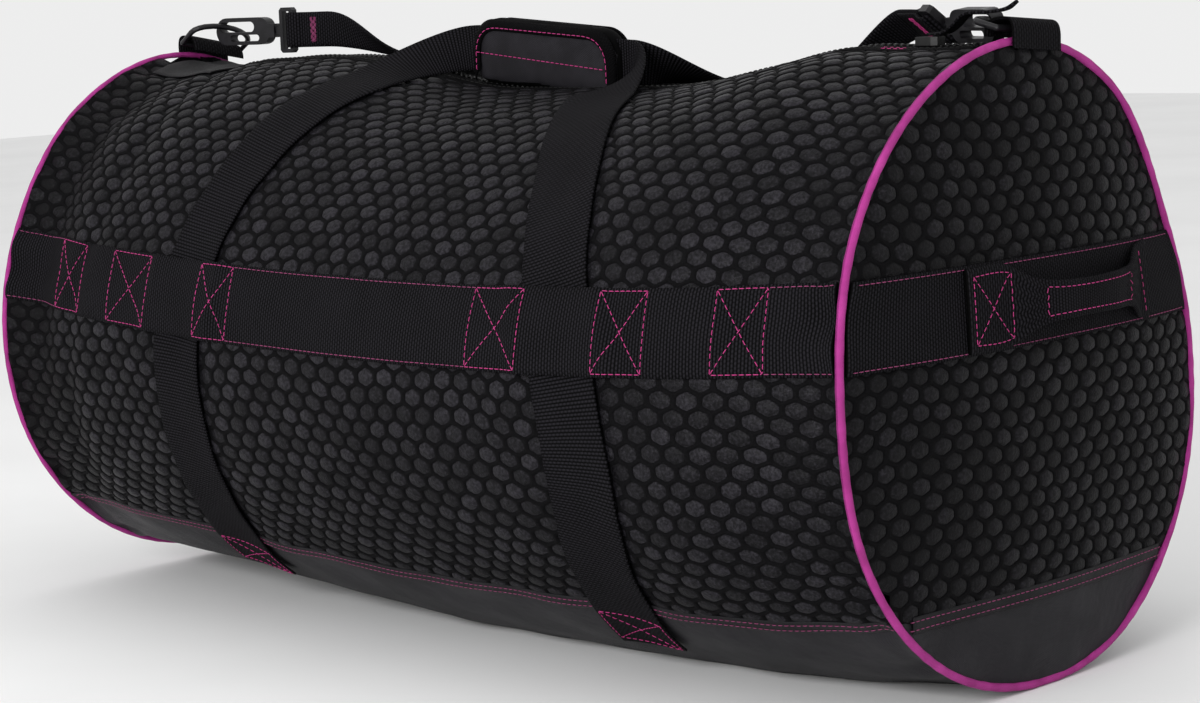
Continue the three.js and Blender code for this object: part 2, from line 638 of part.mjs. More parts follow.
// Rectangular strap eye on the hook's swivel
function eyeShape() {
  const half = EYE.height / 2;
  const left = eyeStart + EYE.neck;
  const stem = EYE.thickness / 2;
  const shape = new THREE.Shape(flat([
    [eyeStart, -stem], [left, -stem], [left, EYE.corner - half], [left + EYE.corner, -half],
    [eyeEnd - EYE.corner, -half], [eyeEnd, EYE.corner - half], [eyeEnd, half - EYE.corner],
    [eyeEnd - EYE.corner, half], [left + EYE.corner, half], [left, half - EYE.corner],
    [left, stem], [eyeStart, stem],
  ]));
  const slotHalf = STRAP_WIDTH / 2 + LAY;
  const slotEnd = eyeEnd - EYE.bar;
  const slotStart = slotEnd - EYE.slotLength;
  shape.holes.push(new THREE.Path(flat([
    [slotStart, -slotHalf], [slotStart, slotHalf], [slotEnd, slotHalf], [slotEnd, -slotHalf],
  ])));
  return shape;
}

// Directions of a piece that points back over the bag and leans towards the front
function leaning(end, leanDegrees) {
  const yaw = THREE.MathUtils.degToRad(end.yaw);
  const lean = THREE.MathUtils.degToRad(leanDegrees);
  const way = V(-end.side * Math.cos(yaw), Math.sin(yaw), 0);
  const level = V(0, 0, 1).cross(way).normalize().multiplyScalar(end.side);
  const up = V(0, 0, 1).multiplyScalar(Math.cos(lean)).addScaledVector(level, Math.sin(lean));
  return { way, up, aside: way.clone().cross(up) };
}

// Frame of a hook: its nose is hooked on the ring's bow
function hookFrame(end) {
  const { way, up, aside } = leaning(end, end.lean);
  const heldAlong = HOOK.spine + HOOK_SLOT.nose * 0.7;
  const heldUp = noseSlotLow + HOOK_SLOT.nose / 2;
  const origin = ringTip(end).addScaledVector(way, -heldAlong).addScaledVector(up, -heldUp);
  return { way, up, aside, origin };
}

// Frame of a strap eye, turned about the hook's own line
function eyeFrame(end) {
  return { ...leaning(end, end.eyeLean), origin: hookFrame(end).origin };
}

// Plate cut from a shape in a frame's plane
function plate(shape, thickness, frame) {
  const settings = { depth: thickness, bevelEnabled: false, curveSegments: 5 };
  const geometry = new THREE.ExtrudeGeometry(shape, settings);
  geometry.translate(0, 0, -thickness / 2);
  const turn = new THREE.Matrix4().makeBasis(frame.way, frame.up, frame.aside);
  turn.setPosition(frame.origin);
  return plainSolid(geometry.applyMatrix4(turn));
}

// Rows of the shoulder strap round the bar of an eye, from its sewn tail to its free run
function strapFoldRows(end) {
  const frame = eyeFrame(end);
  const barMiddle = eyeEnd - EYE.bar / 2;
  const wide = EYE.thickness / 2 + GAP + STRAP_WALL / 2;
  const deep = EYE.bar / 2 + GAP + STRAP_WALL / 2;
  const close = (STRAP_WALL + GAP) / 2;
  const half = [
    [STRAP_FOLD, close], [STRAP_FOLD * 0.6, close], [STRAP_FOLD * 0.33, close],
    [deep * 2.4, wide * 0.8], [deep, wide * 1.1], [-deep * 0.55, wide * 1.1], [-deep * 1.15, wide * 0.7],
  ];
  const path = [...half.map(([along, aside]) => [along, -aside]), [-deep * 1.2, 0], ...[...half].reverse()];
  return path.map(([along, aside]) => [-0.5, 0, 0.5].map((across) => frame.origin.clone()
    .addScaledVector(frame.way, barMiddle + along)
    .addScaledVector(frame.aside, aside)
    .addScaledVector(frame.up, across * STRAP_WIDTH)));
}

// The strap's run along the back shoulder, over the handle legs
function strapRunRows() {
  const over = LEG_LAY + LEG_WALL + LAY + STRAP_WALL / 2;
  const places = strapRows.map((row) => row.at);
  const angles = strapRows.map((row) => row.angle);
  return steps(places[0], places.at(-1), 12).map((share) => {
    const x = share * HALF;
    const angle = through(places, angles, share);
    return [-0.5, 0, 0.5].map((across) => {
      const turn = (across * STRAP_WIDTH) / perDegree(skinRadius(x, angle));
      return skin(x, angle + turn, over);
    });
  });
}

// Shoulder strap from the far eye over the back shoulder to the near eye
function shoulderStrap() {
  const upright = (rows) => rows.map((row) => (rows[0][2].z > rows[0][0].z ? row : [...row].reverse()));
  const run = strapRunRows();
  const farRows = upright(strapFoldRows(far));
  const nearRows = upright(strapFoldRows(near)).reverse();
  const down = bridge(farRows.at(-1), hookFrame(far).way, run[0], wayBetween(run[0], run[1]), 6);
  const back = hookFrame(near).way.negate();
  const up = bridge(run.at(-1), wayBetween(run.at(-2), run.at(-1)), nearRows[0], back, 6);
  return ribbon([...farRows, ...down, ...run, ...up, ...nearRows], STRAP_WALL);
}

// The slider rides on the coil, its nose narrowed
const sliderEnds = [-0.5, 0.5].map((s) => topHeight(SLIDER.place + s * SLIDER.length));
const sliderTop = Math.max(...sliderEnds) + ZIP.proud + GAP + SLIDER.height;
function slider() {
  const geometry = new THREE.BoxGeometry(SLIDER.length, SLIDER.width, SLIDER.height, 4, 1, 1);
  const place = geometry.attributes.position;
  for (let i = 0; i < place.count; i += 1) {
    if (place.getX(i) > SLIDER.length / 3) place.setY(i, place.getY(i) * SLIDER.nose);
  }
  geometry.translate(SLIDER.place, 0, sliderTop - SLIDER.height / 2);
  return plainSolid(geometry);
}

// Webbing tongue on the slider
function pull() {
  const base = sliderTop + GAP + PULL_WALL / 2;
  return ribbon(pullRows.map((row) => [-0.5, 0.5].map((s) => V(
    SLIDER.place + row.along, row.aside + s * row.width, base + row.up))), PULL_WALL);
}

const finish = (color, roughness) => new THREE.MeshStandardMaterial({ color, roughness, metalness: 0 });
const bag = new THREE.Group();
function add(name, geometry, material) {
  const mesh = new THREE.Mesh(geometry, material);
  mesh.name = name;
  bag.add(mesh);
}

const net = () => finish(0x2c2c30, 0.75);
const coated = () => finish(0x242428, 0.5);
const webbing = () => finish(0x161617, 0.85);
const cord = () => finish(0xc03d9c, 0.6);
const padding = () => finish(0x2a2a2e, 0.8);
const plastic = () => finish(0x1d1e20, 0.4);
const zip = () => finish(0x19191b, 0.6);

add('front_mesh_panel', netPanel(1), net());
add('back_mesh_panel', netPanel(-1), net());
add('bottom_panel', bottomPanel(), coated());
for (const end of [near, far]) {
  add(`${end.name}_end_mesh_panel`, endPanel(end.side, true, 24, 4), net());
  add(`${end.name}_end_lower_panel`, endPanel(end.side, false, 14, 2), coated());
  add(`${end.name}_piping`, piping(end.side), cord());
  add(`${end.name}_end_band`, endBand(end.side), webbing());
  add(`${end.name}_tab`, tab(end), webbing());
  add(`${end.name}_ring`, ringLoop(end), plastic());
  add(`${end.name}_snap_hook`, plate(hookShape(), HOOK.thickness, hookFrame(end)), plastic());
  add(`${end.name}_strap_eye`, plate(eyeShape(), EYE.thickness, eyeFrame(end)), plastic());
}
add('front_band', sideBand(1), webbing());
add('back_band', sideBand(-1), webbing());
add('near_end_handle', grabHandle(near.side), webbing());
add('front_handle_strap', handleStrap(1), webbing());
add('back_handle_strap', handleStrap(-1), webbing());
add('handle_wrap', handleWrap(), padding());
add('front_zip_tape', zipTape(1), zip());
add('back_zip_tape', zipTape(-1), zip());
add('zip_coil', zipCoil(), zip());
add('far_zip_patch', zipPatch(), coated());
add('zip_slider', slider(), plastic());
add('zip_pull', pull(), webbing());
add('shoulder_strap', shoulderStrap(), webbing());

export default bag;
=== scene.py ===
import math
from collections import namedtuple

import bmesh
import bpy
import numpy as np
from mathutils import Matrix, Vector


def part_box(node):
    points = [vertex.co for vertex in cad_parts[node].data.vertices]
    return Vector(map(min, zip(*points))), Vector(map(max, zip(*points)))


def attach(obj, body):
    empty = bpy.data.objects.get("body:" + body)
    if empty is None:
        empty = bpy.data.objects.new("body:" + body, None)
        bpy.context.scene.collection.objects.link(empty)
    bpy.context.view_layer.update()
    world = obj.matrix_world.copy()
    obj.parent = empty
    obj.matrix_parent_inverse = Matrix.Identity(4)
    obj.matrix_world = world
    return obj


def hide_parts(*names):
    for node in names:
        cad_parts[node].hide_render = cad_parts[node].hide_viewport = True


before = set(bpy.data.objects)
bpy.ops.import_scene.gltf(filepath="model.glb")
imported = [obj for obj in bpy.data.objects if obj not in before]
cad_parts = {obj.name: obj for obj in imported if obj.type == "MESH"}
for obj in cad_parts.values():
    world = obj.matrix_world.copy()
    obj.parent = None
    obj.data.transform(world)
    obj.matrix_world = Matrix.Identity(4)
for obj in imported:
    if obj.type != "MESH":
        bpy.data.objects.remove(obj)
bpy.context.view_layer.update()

# A mesh dive gear bag: the looks of its net, webbing, piping, padding and fittings.
# Sizes are in millimetres and become metres where a mesh is made. X runs along the bag.
MM = 0.001
rng = np.random.default_rng(7)

# Sizes that the model was built from
HALF = 381.0
RIM = 188.0
AXIS = RIM
DEGREE = math.radians(RIM)
PIPING = 2.5
BAND_WIDTH, BAND_WALL, BAND_LAY = 50.8, 1.8, 1.0
LEG_WIDTH, LEG_WALL, LEG_LAY = 48.0, 1.8, 1.9
LEG_START, LEG_END = 20.0, 150.0
LIFT_REACH, LIFT_FADE = 24.0, 16.0
STRAP_WIDTH, STRAP_WALL, STRAP_FOLD = 25.4, 1.8, 34.0
GRAB_FROM, GRAB_TO, GRAB_WALL = -76.0, 106.0, 2.2
END_BULGE = 13.0
BOTTOM_SEAM, END_SEAM = 135.0, 61.0
ZIP_COIL, ZIP_TAPE, ZIP_PROUD = 4.0, 14.0, 0.8
CLEAR = 0.35
TAB = {"width": 46.0, "height": 13.0, "depth": 15.0, "hem": 5.0, "wall": 1.8}
EYE = {"start": 58.35, "neck": 4.0, "length": 13.0, "thickness": 5.0, "bar": 3.5}
RING = {"inset": 5.0, "reach": 22.0, "lift": 6.6}
HOOK_HOLD = {"along": 8.32, "up": 3.2}

# Rim outlines as shares of RIM, every 30 degrees from the top over the front
NEAR_RIM = [1.010, 0.995, 0.963, 0.915, 0.947, 0.968, 0.985, 1.020, 0.980, 0.904, 0.874, 0.976]
FAR_RIM = [1.010, 0.973, 0.918, 0.912, 0.925, 0.934, 0.938, 0.968, 0.968, 0.905, 0.890, 0.962]

# Swell past the rims as shares of RIM, at shares of the half length. The columns stand every
# 45 degrees: top, front shoulder, front, front hip, base, back hip, back, back shoulder.
SWELL = np.array([
    [-1.00, 0, 0, 0, 0, 0, 0, 0, 0],
    [-0.90, -0.055, -0.022, -0.010, -0.005, 0.007, 0.003, 0.005, -0.005],
    [-0.74, -0.032, 0.016, 0.045, 0.013, 0.018, 0.015, 0.055, 0.021],
    [-0.42, -0.025, 0.020, 0.095, 0.048, 0.060, 0.040, 0.100, 0.038],
    [-0.10, -0.128, -0.010, 0.115, 0.078, 0.087, 0.050, 0.120, 0.025],
    [0.12, -0.140, -0.019, 0.125, 0.085, 0.086, 0.055, 0.135, 0.021],
    [0.42, -0.117, -0.004, 0.130, 0.081, 0.079, 0.050, 0.140, 0.027],
    [0.70, -0.015, 0.021, 0.100, 0.062, 0.062, 0.040, 0.096, 0.043],
    [0.90, -0.020, -0.022, 0.020, 0.018, 0.017, 0.017, 0.021, 0.005],
    [1.00, 0, 0, 0, 0, 0, 0, 0, 0],
])

# How deep the folds of the skin are, in mm
FOLD = {"leg": 2.6, "pucker": 1.8, "slow": 0.9, "crease": 3.2, "valley": 2.2, "hollow": 5.0}

# Centre lines of the carry handle's legs: degrees from the top, left and right shares of HALF
LEGS = np.array([
    [20, -0.297, 0.276], [40, -0.352, 0.362], [60, -0.396, 0.438], [85, -0.428, 0.509],
    [105, -0.441, 0.528], [125, -0.462, 0.493], [150, -0.512, 0.446],
])
LEG_COLUMN = {"left": 1, "right": 2}

# The shoulder strap's run over the back shoulder: share of HALF, degrees from the top
STRAP_RUN = np.array([
    [-0.46, -17], [-0.34, -24], [-0.10, -33], [0.32, -33], [0.46, -27], [0.56, -20],
])

# The end grab handle: share of its length, share of the band's width, stand-off
GRAB = np.array([
    [0, 0.94, 0], [0.19, 0.94, 0], [0.30, 0.56, 6], [0.42, 0.44, 13], [0.68, 0.44, 13],
    [0.84, 0.52, 6], [0.93, 0.84, 0.4], [1, 0.94, 0],
])

# The two sides and the two ends. An end has the middle of its tab, the rise of its ring, the
# leans of its hook and its eye, and the yaw of both.
SIDES = {"front": 1, "back": -1}
End = namedtuple("End", "name side tab rise lean eye_lean yaw")
NEAR = End("near", 1, 11.0, 6.0, 9.0, 50.0, 25.0)
FAR = End("far", -1, 26.0, 15.0, 0.0, 0.0, 7.0)
ENDS = (NEAR, FAR)

# Stitched boxes on the side bands and the spans beside them, from and to along the bag
BAND_BOXES = [(-316, -284), (-244, -198), (-141, -109), (118, 162), (221, 255), (301, 333)]
BAND_SPANS = [(-HALF + 4, -316), (-109, 118), (333, HALF - 4)]
STITCH_INSET = 2.0


# Numbers
def mix(a, b, t):
    return a + (b - a) * t


def smooth(t):
    t = np.clip(t, 0, 1)
    return t * t * (3 - 2 * t)


def bell(distance, width):
    return np.exp(-(distance / width) ** 2)


def unit(rows):
    return rows / np.linalg.norm(rows, axis=-1, keepdims=True)


def stacked(*parts):
    """The parts, broadcast together, as the last axis of one array."""
    return np.stack(np.broadcast_arrays(*parts), -1)


def circle(count):
    return np.linspace(0, 2 * np.pi, count, endpoint=False)


def travelled(points):
    """Distance from the first point along a line of points."""
    return np.concatenate([[0], np.cumsum(np.linalg.norm(np.diff(points, axis=0), axis=1))])


def curve(t, start, leave, stop, arrive):
    """Smooth curve from start to stop, where leave and arrive are its slopes."""
    return ((2 * t**3 - 3 * t**2 + 1) * start + (t**3 - 2 * t**2 + t) * leave
            + (3 * t**2 - 2 * t**3) * stop + (t**3 - t**2) * arrive)


def through(places, values, x):
    """Smooth curve through rows of values (n, k) at uneven places."""
    values = np.asarray(values, float).reshape(len(places), -1)
    slope = np.empty_like(values)
    slope[1:-1] = (values[2:] - values[:-2]) / (places[2:] - places[:-2])[:, None]
    slope[0] = (values[1] - values[0]) / (places[1] - places[0])
    slope[-1] = (values[-1] - values[-2]) / (places[-1] - places[-2])
    x = np.clip(x, places[0], places[-1])
    i = np.clip(np.searchsorted(places, x) - 1, 0, len(places) - 2)
    span = (places[i + 1] - places[i])[..., None]
    t = (x - places[i])[..., None] / span
    return curve(t, values[i], span * slope[i], values[i + 1], span * slope[i + 1])


def around(columns, degrees):
    """Smooth closed curve through columns (..., k) spaced evenly round the barrel."""
    columns = np.asarray(columns, float)
    count = columns.shape[-1]
    place = np.asarray(degrees) % 360 / 360 * count
    i = np.floor(place).astype(int)
    t = place - i
    shape = np.broadcast_shapes(columns.shape[:-1], i.shape)
    columns = np.broadcast_to(columns, shape + (count,))
    i = np.broadcast_to(i, shape)
    a, b, c, d = [np.take_along_axis(columns, ((i + k) % count)[..., None], -1)[..., 0]
                  for k in (-1, 0, 1, 2)]
    return (2 * b + (c - a) * t + (2 * a - 5 * b + 4 * c - d) * t**2
            + (3 * b - a - 3 * c + d) * t**3) / 2


def spread(surface):
    """The surface function with its two places and its height broadcast together."""
    return lambda a, b, height=0.0: surface(*np.broadcast_arrays(np.asarray(a, float), b, height))


# The skin
def leg_x(name, degrees):
    return HALF * through(LEGS[:, 0], LEGS[:, LEG_COLUMN[name]], np.abs(degrees))[..., 0]


def band_height(x):
    share = x / HALF
    return 222 + 13 * share**2 - 4 * share


def folds(x, degrees):
    """Small folds of the cloth: the webbing sinks in, and the cloth puckers beside the rims."""
    turn = (degrees + 180) % 360 - 180
    off_top = np.abs(turn)
    total = 0
    for name in LEG_COLUMN:
        away = x - leg_x(name, np.clip(off_top, LEG_START, LEG_END))
        shown = smooth((off_top - 30) / 20) * smooth((160 - off_top) / 15)
        total = total - FOLD["leg"] * bell(away, 30) * shown
    inward = HALF - np.abs(x)
    rim = smooth(inward / 6)
    theta = np.radians(turn)
    pucker = np.sin(23 * theta + 1.3 * np.sin(5 * theta)) + 0.6 * np.sin(41 * theta + 2)
    slow = np.sin(x / 61 + 3 * theta) * np.sin(x / 37 - 2 * theta + 1)
    slow = slow + 0.7 * np.sin(x / 14 + 6 * np.sin(3 * theta)) * np.sin(11 * theta + np.sin(x / 33))
    crease = bell(x + 300 - 26 * np.sin(2 * theta), 11) * smooth((95 - np.abs(turn - 48)) / 50)
    hollow = bell(x + 346, 17) * smooth((off_top - 16) / 14) * smooth((120 - off_top) / 40)
    total = total + FOLD["pucker"] * np.exp(-inward / 26) * rim * pucker + FOLD["slow"] * slow
    valley = bell(inward - 12, 8) * rim
    return total - FOLD["crease"] * crease - FOLD["valley"] * valley - FOLD["hollow"] * hollow


def skin_radius(x, degrees):
    share = x / HALF
    swell = around(through(SWELL[:, 0], SWELL[:, 1:], share), degrees)
    return RIM * (mix(around(FAR_RIM, degrees), around(NEAR_RIM, degrees), (share + 1) / 2) + swell)


def floor_height(x):
    return (PIPING + 0.1) * smooth((np.abs(x) / HALF - 0.93) / 0.07)


def skin(x, degrees, offset=0.0, folded=True):
    x, degrees, offset = np.broadcast_arrays(np.asarray(x, float), degrees, offset)
    angle = np.radians(degrees)
    radius = skin_radius(x, degrees) + offset + (folds(x, degrees) if folded else 0)
    lowest = floor_height(x) - np.minimum(0, offset)
    return stacked(x, -radius * np.sin(angle), np.maximum(lowest, AXIS + radius * np.cos(angle)))


def top_height(x, y):
    degrees = np.degrees(np.arctan2(-y, skin_radius(x, 0.0)))
    return skin(x, degrees, folded=False)[..., 2]


def angle_at_height(x, height, side):
    degrees = np.full(np.shape(x), 90.0 * side)
    for _ in range(12):
        degrees = side * np.degrees(np.arccos((height - AXIS) / skin_radius(x, degrees)))
    return degrees


def end_face(side, y, z, offset=0.0):
    """Points of a bulging end, by their places across and up."""
    degrees = np.degrees(np.arctan2(-y, z - AXIS))
    reach = np.hypot(y, z - AXIS) / skin_radius(side * HALF, degrees)
    edge = bell(1 - reach, 0.07) * smooth((1 - reach) / 0.03)
    theta = np.radians(degrees)
    pucker = 1.1 * edge * np.sin(19 * theta + np.sin(4 * theta)) + 0.8 * np.sin(y / 31 + z / 47)
    rise = END_BULGE * np.maximum(0, 1 - reach**2) + pucker
    return stacked(side * (HALF + rise + offset), y, z)


def end_radius(side, degrees):
    return skin_radius(side * HALF, degrees) - 1.0


def end_reach(side, height):
    """How far an end panel reaches to the front and to the back at a height."""
    turns = [angle_at_height(np.full(np.shape(height), side * HALF), height, face) for face in (1, -1)]
    return [-end_radius(side, turn) * np.sin(np.radians(turn)) for turn in turns]


def lengthwise(side, middle, rise):
    """Surface beside a line along the bag: place, distance from the line, height."""
    return spread(lambda x, s, height: skin(x, side * (middle + s / DEGREE), height + rise))


def crosswise(side, middle, rise):
    """Surface beside a level line across an end: place, distance from the line, height."""
    return spread(lambda y, s, height: end_face(side, y, middle + s, height + rise))


# Meshes
def shade_smooth(mesh):
    mesh.polygons.foreach_set("use_smooth", np.full(len(mesh.polygons), True))
    mesh.update()


def placed(name, data):
    """An object of the scene that holds the data."""
    made = bpy.data.objects.new(name, data)
    bpy.context.scene.collection.objects.link(made)
    return made


def piece(name, points, faces, materials, node=None, slot="webbing", lie=None, kinds=None, tone=None):
    """Mesh object from points in millimetres; lie is where each point is on its flat cloth."""
    mesh = bpy.data.meshes.new(name)
    mesh.from_pydata((points * MM).tolist(), [], faces)
    if lie is not None:
        values = np.pad(lie, ((0, 0), (0, 1))).astype(np.float32).ravel()
        mesh.attributes.new("lie", "FLOAT_VECTOR", "POINT").data.foreach_set("vector", values)
    if tone is not None:
        mesh.attributes.new("tone", "FLOAT", "POINT").data.foreach_set("value", tone.astype(np.float32))
    for material in materials:
        mesh.materials.append(material)
    if kinds is not None:
        mesh.polygons.foreach_set("material_index", np.asarray(kinds, np.int32))
    shade_smooth(mesh)
    made = placed(name, mesh)
    if node:
        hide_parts(node)
    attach(made, "root")
    return made


def turned(faces):
    return [face[::-1] for face in faces]


def outward(points, faces):
    """The faces turned so that the closed form's volume is positive."""
    volume = sum(np.dot(points[f[0]], np.cross(points[f[k]], points[f[k + 1]]))
                 for f in faces for k in range(1, len(f) - 1))
    return faces if volume > 0 else turned(faces)


def grid_faces(rows, columns, start=0, closed=False):
    """Quads of a grid of points."""
    wide = columns if closed else columns - 1
    return [(start + i * columns + j, start + i * columns + (j + 1) % columns,
             start + (i + 1) * columns + (j + 1) % columns, start + (i + 1) * columns + j)
            for i in range(rows - 1) for j in range(wide)]


def flat_places(grid):
    """Distances along and across a grid, for the weave."""
    along = travelled(grid[:, grid.shape[1] // 2])
    width = np.linalg.norm(grid[:, -1] - grid[:, 0], axis=1).mean()
    across = np.linspace(0, width, grid.shape[1])
    return stacked(along[:, None], across)


def slab(name, layer, wall, lie, material, node=None, slot="webbing", round_edge=0.35):
    """Cloth or webbing between two heights; layer(height) gives a grid of points."""
    top, bottom = layer(wall), layer(0.0)
    rows, columns = top.shape[:2]
    top[:, [0, -1]] += (bottom - top)[:, [0, -1]] * round_edge
    points = np.concatenate([top.reshape(-1, 3), bottom.reshape(-1, 3)])
    count = rows * columns
    faces = grid_faces(rows, columns) + turned(grid_faces(rows, columns, count))
    index = np.arange(count).reshape(rows, columns)
    rim = np.concatenate([index[:, 0], index[-1, 1:], index[-2::-1, -1], index[0, -2:0:-1]]).tolist()
    faces += [(a, b, b + count, a + count) for a, b in zip(rim, rim[1:] + rim[:1])]
    flat = np.concatenate([lie.reshape(-1, 2)] * 2)
    piece(name, points, outward(points, faces), [material], node, slot, flat)


def sheet(name, surface, a, b, lowest, wall, *rest):
    """Cloth or webbing over the places (a, b) of a surface, its under face at the lowest height."""
    slab(name, lambda height: surface(a, b, height + lowest), wall, flat_places(surface(a, b)), *rest)


def strip(name, grid, wall, material, node=None, crossed=False):
    """Webbing whose middle layer is the grid; crossed lays its weave across the grid."""
    normal = unit(np.cross(*np.gradient(grid, axis=(0, 1))))
    lie = flat_places(grid)
    slab(name, lambda height: grid + normal * (height - wall / 2), wall,
         lie[..., ::-1] if crossed else lie, material, node)


def resampled(grid, count):
    """The grid's rows carried smoothly through more rows."""
    last = len(grid) - 1
    rows = through(np.arange(last + 1), grid.reshape(last + 1, -1), np.linspace(0, last, count))
    return rows.reshape(count, *grid.shape[1:])


# Materials
class Shader:
    """A node material, made with short calls."""

    def __init__(self, name, roughness=0.8, specular=0.4):
        self.material = bpy.data.materials.new(name)
        self.material.use_nodes = True
        self.tree = self.material.node_tree
        self.surface = self.tree.nodes["Principled BSDF"].inputs
        self.surface["Roughness"].default_value = roughness
        self.surface["Specular IOR Level"].default_value = specular
        self.place = self.node("ShaderNodeTexCoord").outputs["Object"]

    def put(self, socket, value):
        if isinstance(value, bpy.types.NodeSocket):
            self.tree.links.new(value, socket)
        else:
            socket.default_value = value

    def node(self, kind, inputs=None, **settings):
        made = self.tree.nodes.new(kind)
        for key, value in settings.items():
            setattr(made, key, value)
        for key, value in (inputs or {}).items():
            self.put(made.inputs[key], value)
        return made

    def math(self, operation, *values):
        return self.node("ShaderNodeMath", dict(enumerate(values)), operation=operation).outputs[0]

    def blend(self, *shares, base=0.0):
        """The values times their shares, added to the base."""
        for value, share in shares:
            base = self.math("MULTIPLY_ADD", value, share, base)
        return base

    def sine(self, value, scale, shift=0.0):
        return self.math("SINE", self.math("MULTIPLY_ADD", value, scale, shift))

    def ribs(self, value, scale, shift=0.0):
        return self.math("ABSOLUTE", self.sine(value, scale, shift))

    def noise(self, scale, detail=3.0, roughness=0.55):
        inputs = {"Vector": self.place, "Scale": scale, "Detail": detail, "Roughness": roughness}
        return self.node("ShaderNodeTexNoise", inputs).outputs["Fac"]

    def range(self, value, low, high, to_low, to_high):
        inputs = {0: value, 1: low, 2: high, 3: to_low, 4: to_high}
        return self.node("ShaderNodeMapRange", inputs).outputs[0]

    def colours(self, value, *stops):
        ramp = self.node("ShaderNodeValToRGB", {"Fac": value})
        elements = ramp.color_ramp.elements
        elements[0].position, elements[1].position = stops[0][0], stops[-1][0]
        for place, _ in stops[1:-1]:
            elements.new(place)
        for element, (_, colour) in zip(elements, stops):
            element.color = (*colour, 1)
        return ramp.outputs["Color"]

    def attribute(self, name, output="Vector"):
        return self.node("ShaderNodeAttribute", attribute_name=name).outputs[output]

    def split(self, vector):
        return self.node("ShaderNodeSeparateXYZ", {0: vector}).outputs

    def lie(self):
        """Distances along and across the flat cloth."""
        return self.split(self.attribute("lie"))[:2]

    def finish(self, colour, height=None, depth=0.2, strength=1.0, roughness=None):
        self.put(self.surface["Base Color"], colour)
        if roughness is not None:
            self.put(self.surface["Roughness"], roughness)
        if height is not None:
            inputs = {"Height": height, "Strength": strength, "Distance": depth * MM}
            self.put(self.surface["Normal"], self.node("ShaderNodeBump", inputs).outputs["Normal"])
        return self.material


def grey(value):
    return (value, value, value)


def ink(value):
    """Near-black with the slight violet of dyed nylon."""
    return (value, value * 0.93, value * 1.14)


def webbing(name, dark, light, cord=2.7, pick=2.2):
    """Woven webbing: ribs across it, each made of beads set off by half from its neighbour's."""
    s = Shader(name, specular=0.05)
    along, across = s.lie()
    column = s.math("DIVIDE", along, pick)
    shift = s.math("MULTIPLY", s.math("FLOOR", column), math.pi / 2)
    bead = s.ribs(across, math.pi / cord, shift)
    height = s.math("MULTIPLY", s.ribs(column, math.pi), s.blend((bead, 0.55), base=0.45))
    worn = s.noise(35.0, 4.0)
    # The colour is darker between the beads, which is painted shade in the weave's hollows, and mottled by
    # random wear
    colour = s.colours(s.blend((height, 0.85), (worn, 0.25)), (0.3, dark), (0.9, light))
    return s.finish(colour, height, depth=0.7)


def coated(name, dark, light):
    """Coated cloth: a fine plain weave under a slightly shiny coat, with soft handling marks."""
    s = Shader(name, specular=0.16)
    x, y, z = s.split(s.place)
    thread_count = 5200.0
    fine = s.math("MULTIPLY", s.sine(x, thread_count), s.sine(s.math("ADD", y, z), thread_count))
    cloud = s.noise(14.0, 5.0, 0.6)
    crumple = s.noise(38.0, 3.0, 0.5)
    colour = s.colours(cloud, (0.3, dark), (0.72, light))
    rough = s.range(cloud, 0.3, 0.7, 0.62, 0.48)
    return s.finish(colour, s.blend((crumple, 6.0), (fine, 0.25)), 0.45, 0.8, rough)


def cell_cloth():
    """Dark mottled cloth that shows in the net's cells, each with its own random tone, darkened by the
    painted shade its panel lays on it.
    """
    s = Shader("cell cloth", roughness=0.45, specular=0.08)
    tone = s.attribute("tone", "Fac")
    grain = s.range(s.noise(560.0, 2.0, 0.7), 0.32, 0.68, 0.0, 1.0)
    cloud = s.noise(22.0)
    shade = s.blend((tone, 0.35), (grain, 0.65), (cloud, 0.5), base=-0.25)
    colour = s.colours(shade, (0.15, ink(0.0025)), (0.5, ink(0.0075)), (0.9, ink(0.021)))
    return s.finish(colour, grain, depth=0.3, strength=0.9)


def net_cord():
    """Near-black knitted net."""
    s = Shader("net", specular=0.06)
    knit = s.noise(900.0, 2.0, 0.6)
    return s.finish(s.colours(knit, (0.3, ink(0.001)), (0.8, ink(0.0035))), knit, depth=0.4, strength=0.8)


def thread(name, dark, light):
    """Shiny twisted sewing thread."""
    s = Shader(name, roughness=0.6, specular=0.2)
    twist = s.ribs(s.lie()[0], 4.2)
    fade = s.noise(60.0, 2.0)
    return s.finish(s.colours(s.blend((twist, 0.5), (fade, 0.6)), (0.2, dark), (0.9, light)), twist)


def piping_cloth():
    """Magenta piping: a fine bias weave drawn round the cord, darker where it is handled."""
    s = Shader("piping cloth", roughness=0.65, specular=0.2)
    along, across = s.lie()
    bias, cross = [s.ribs(s.math(way, along, across), 3.4) for way in ("ADD", "SUBTRACT")]
    weave = s.math("MULTIPLY", bias, cross)
    wear = s.noise(55.0, 4.0)
    colour = s.colours(s.blend((weave, 0.25), (wear, 0.8)), (0.2, (0.17, 0.012, 0.10)),
                       (0.55, (0.36, 0.028, 0.22)), (0.9, (0.48, 0.06, 0.31)))
    return s.finish(colour, weave, depth=0.18)


def padding_cloth():
    """Charcoal nylon over foam, with a fine twill line."""
    s = Shader("padding cloth", roughness=0.7, specular=0.12)
    x, y, z = s.split(s.place)
    twill = s.sine(s.math("ADD", x, s.math("ADD", y, z)), 4200.0)
    shade = s.blend((twill, 0.1), (s.noise(60.0, 4.0), 1.0))
    return s.finish(s.colours(shade, (0.3, ink(0.008)), (0.75, ink(0.017))), twill, depth=0.12)


def plastic(name, dark, light):
    """Moulded plastic with a fine grain, duller and lighter where it is rubbed."""
    s = Shader(name, specular=0.28)
    grain = s.noise(1500.0, 2.0)
    rub = s.noise(120.0)
    colour = s.colours(rub, (0.35, dark), (0.7, light))
    return s.finish(colour, grain, depth=0.05, roughness=s.range(rub, 0.3, 0.7, 0.34, 0.52))


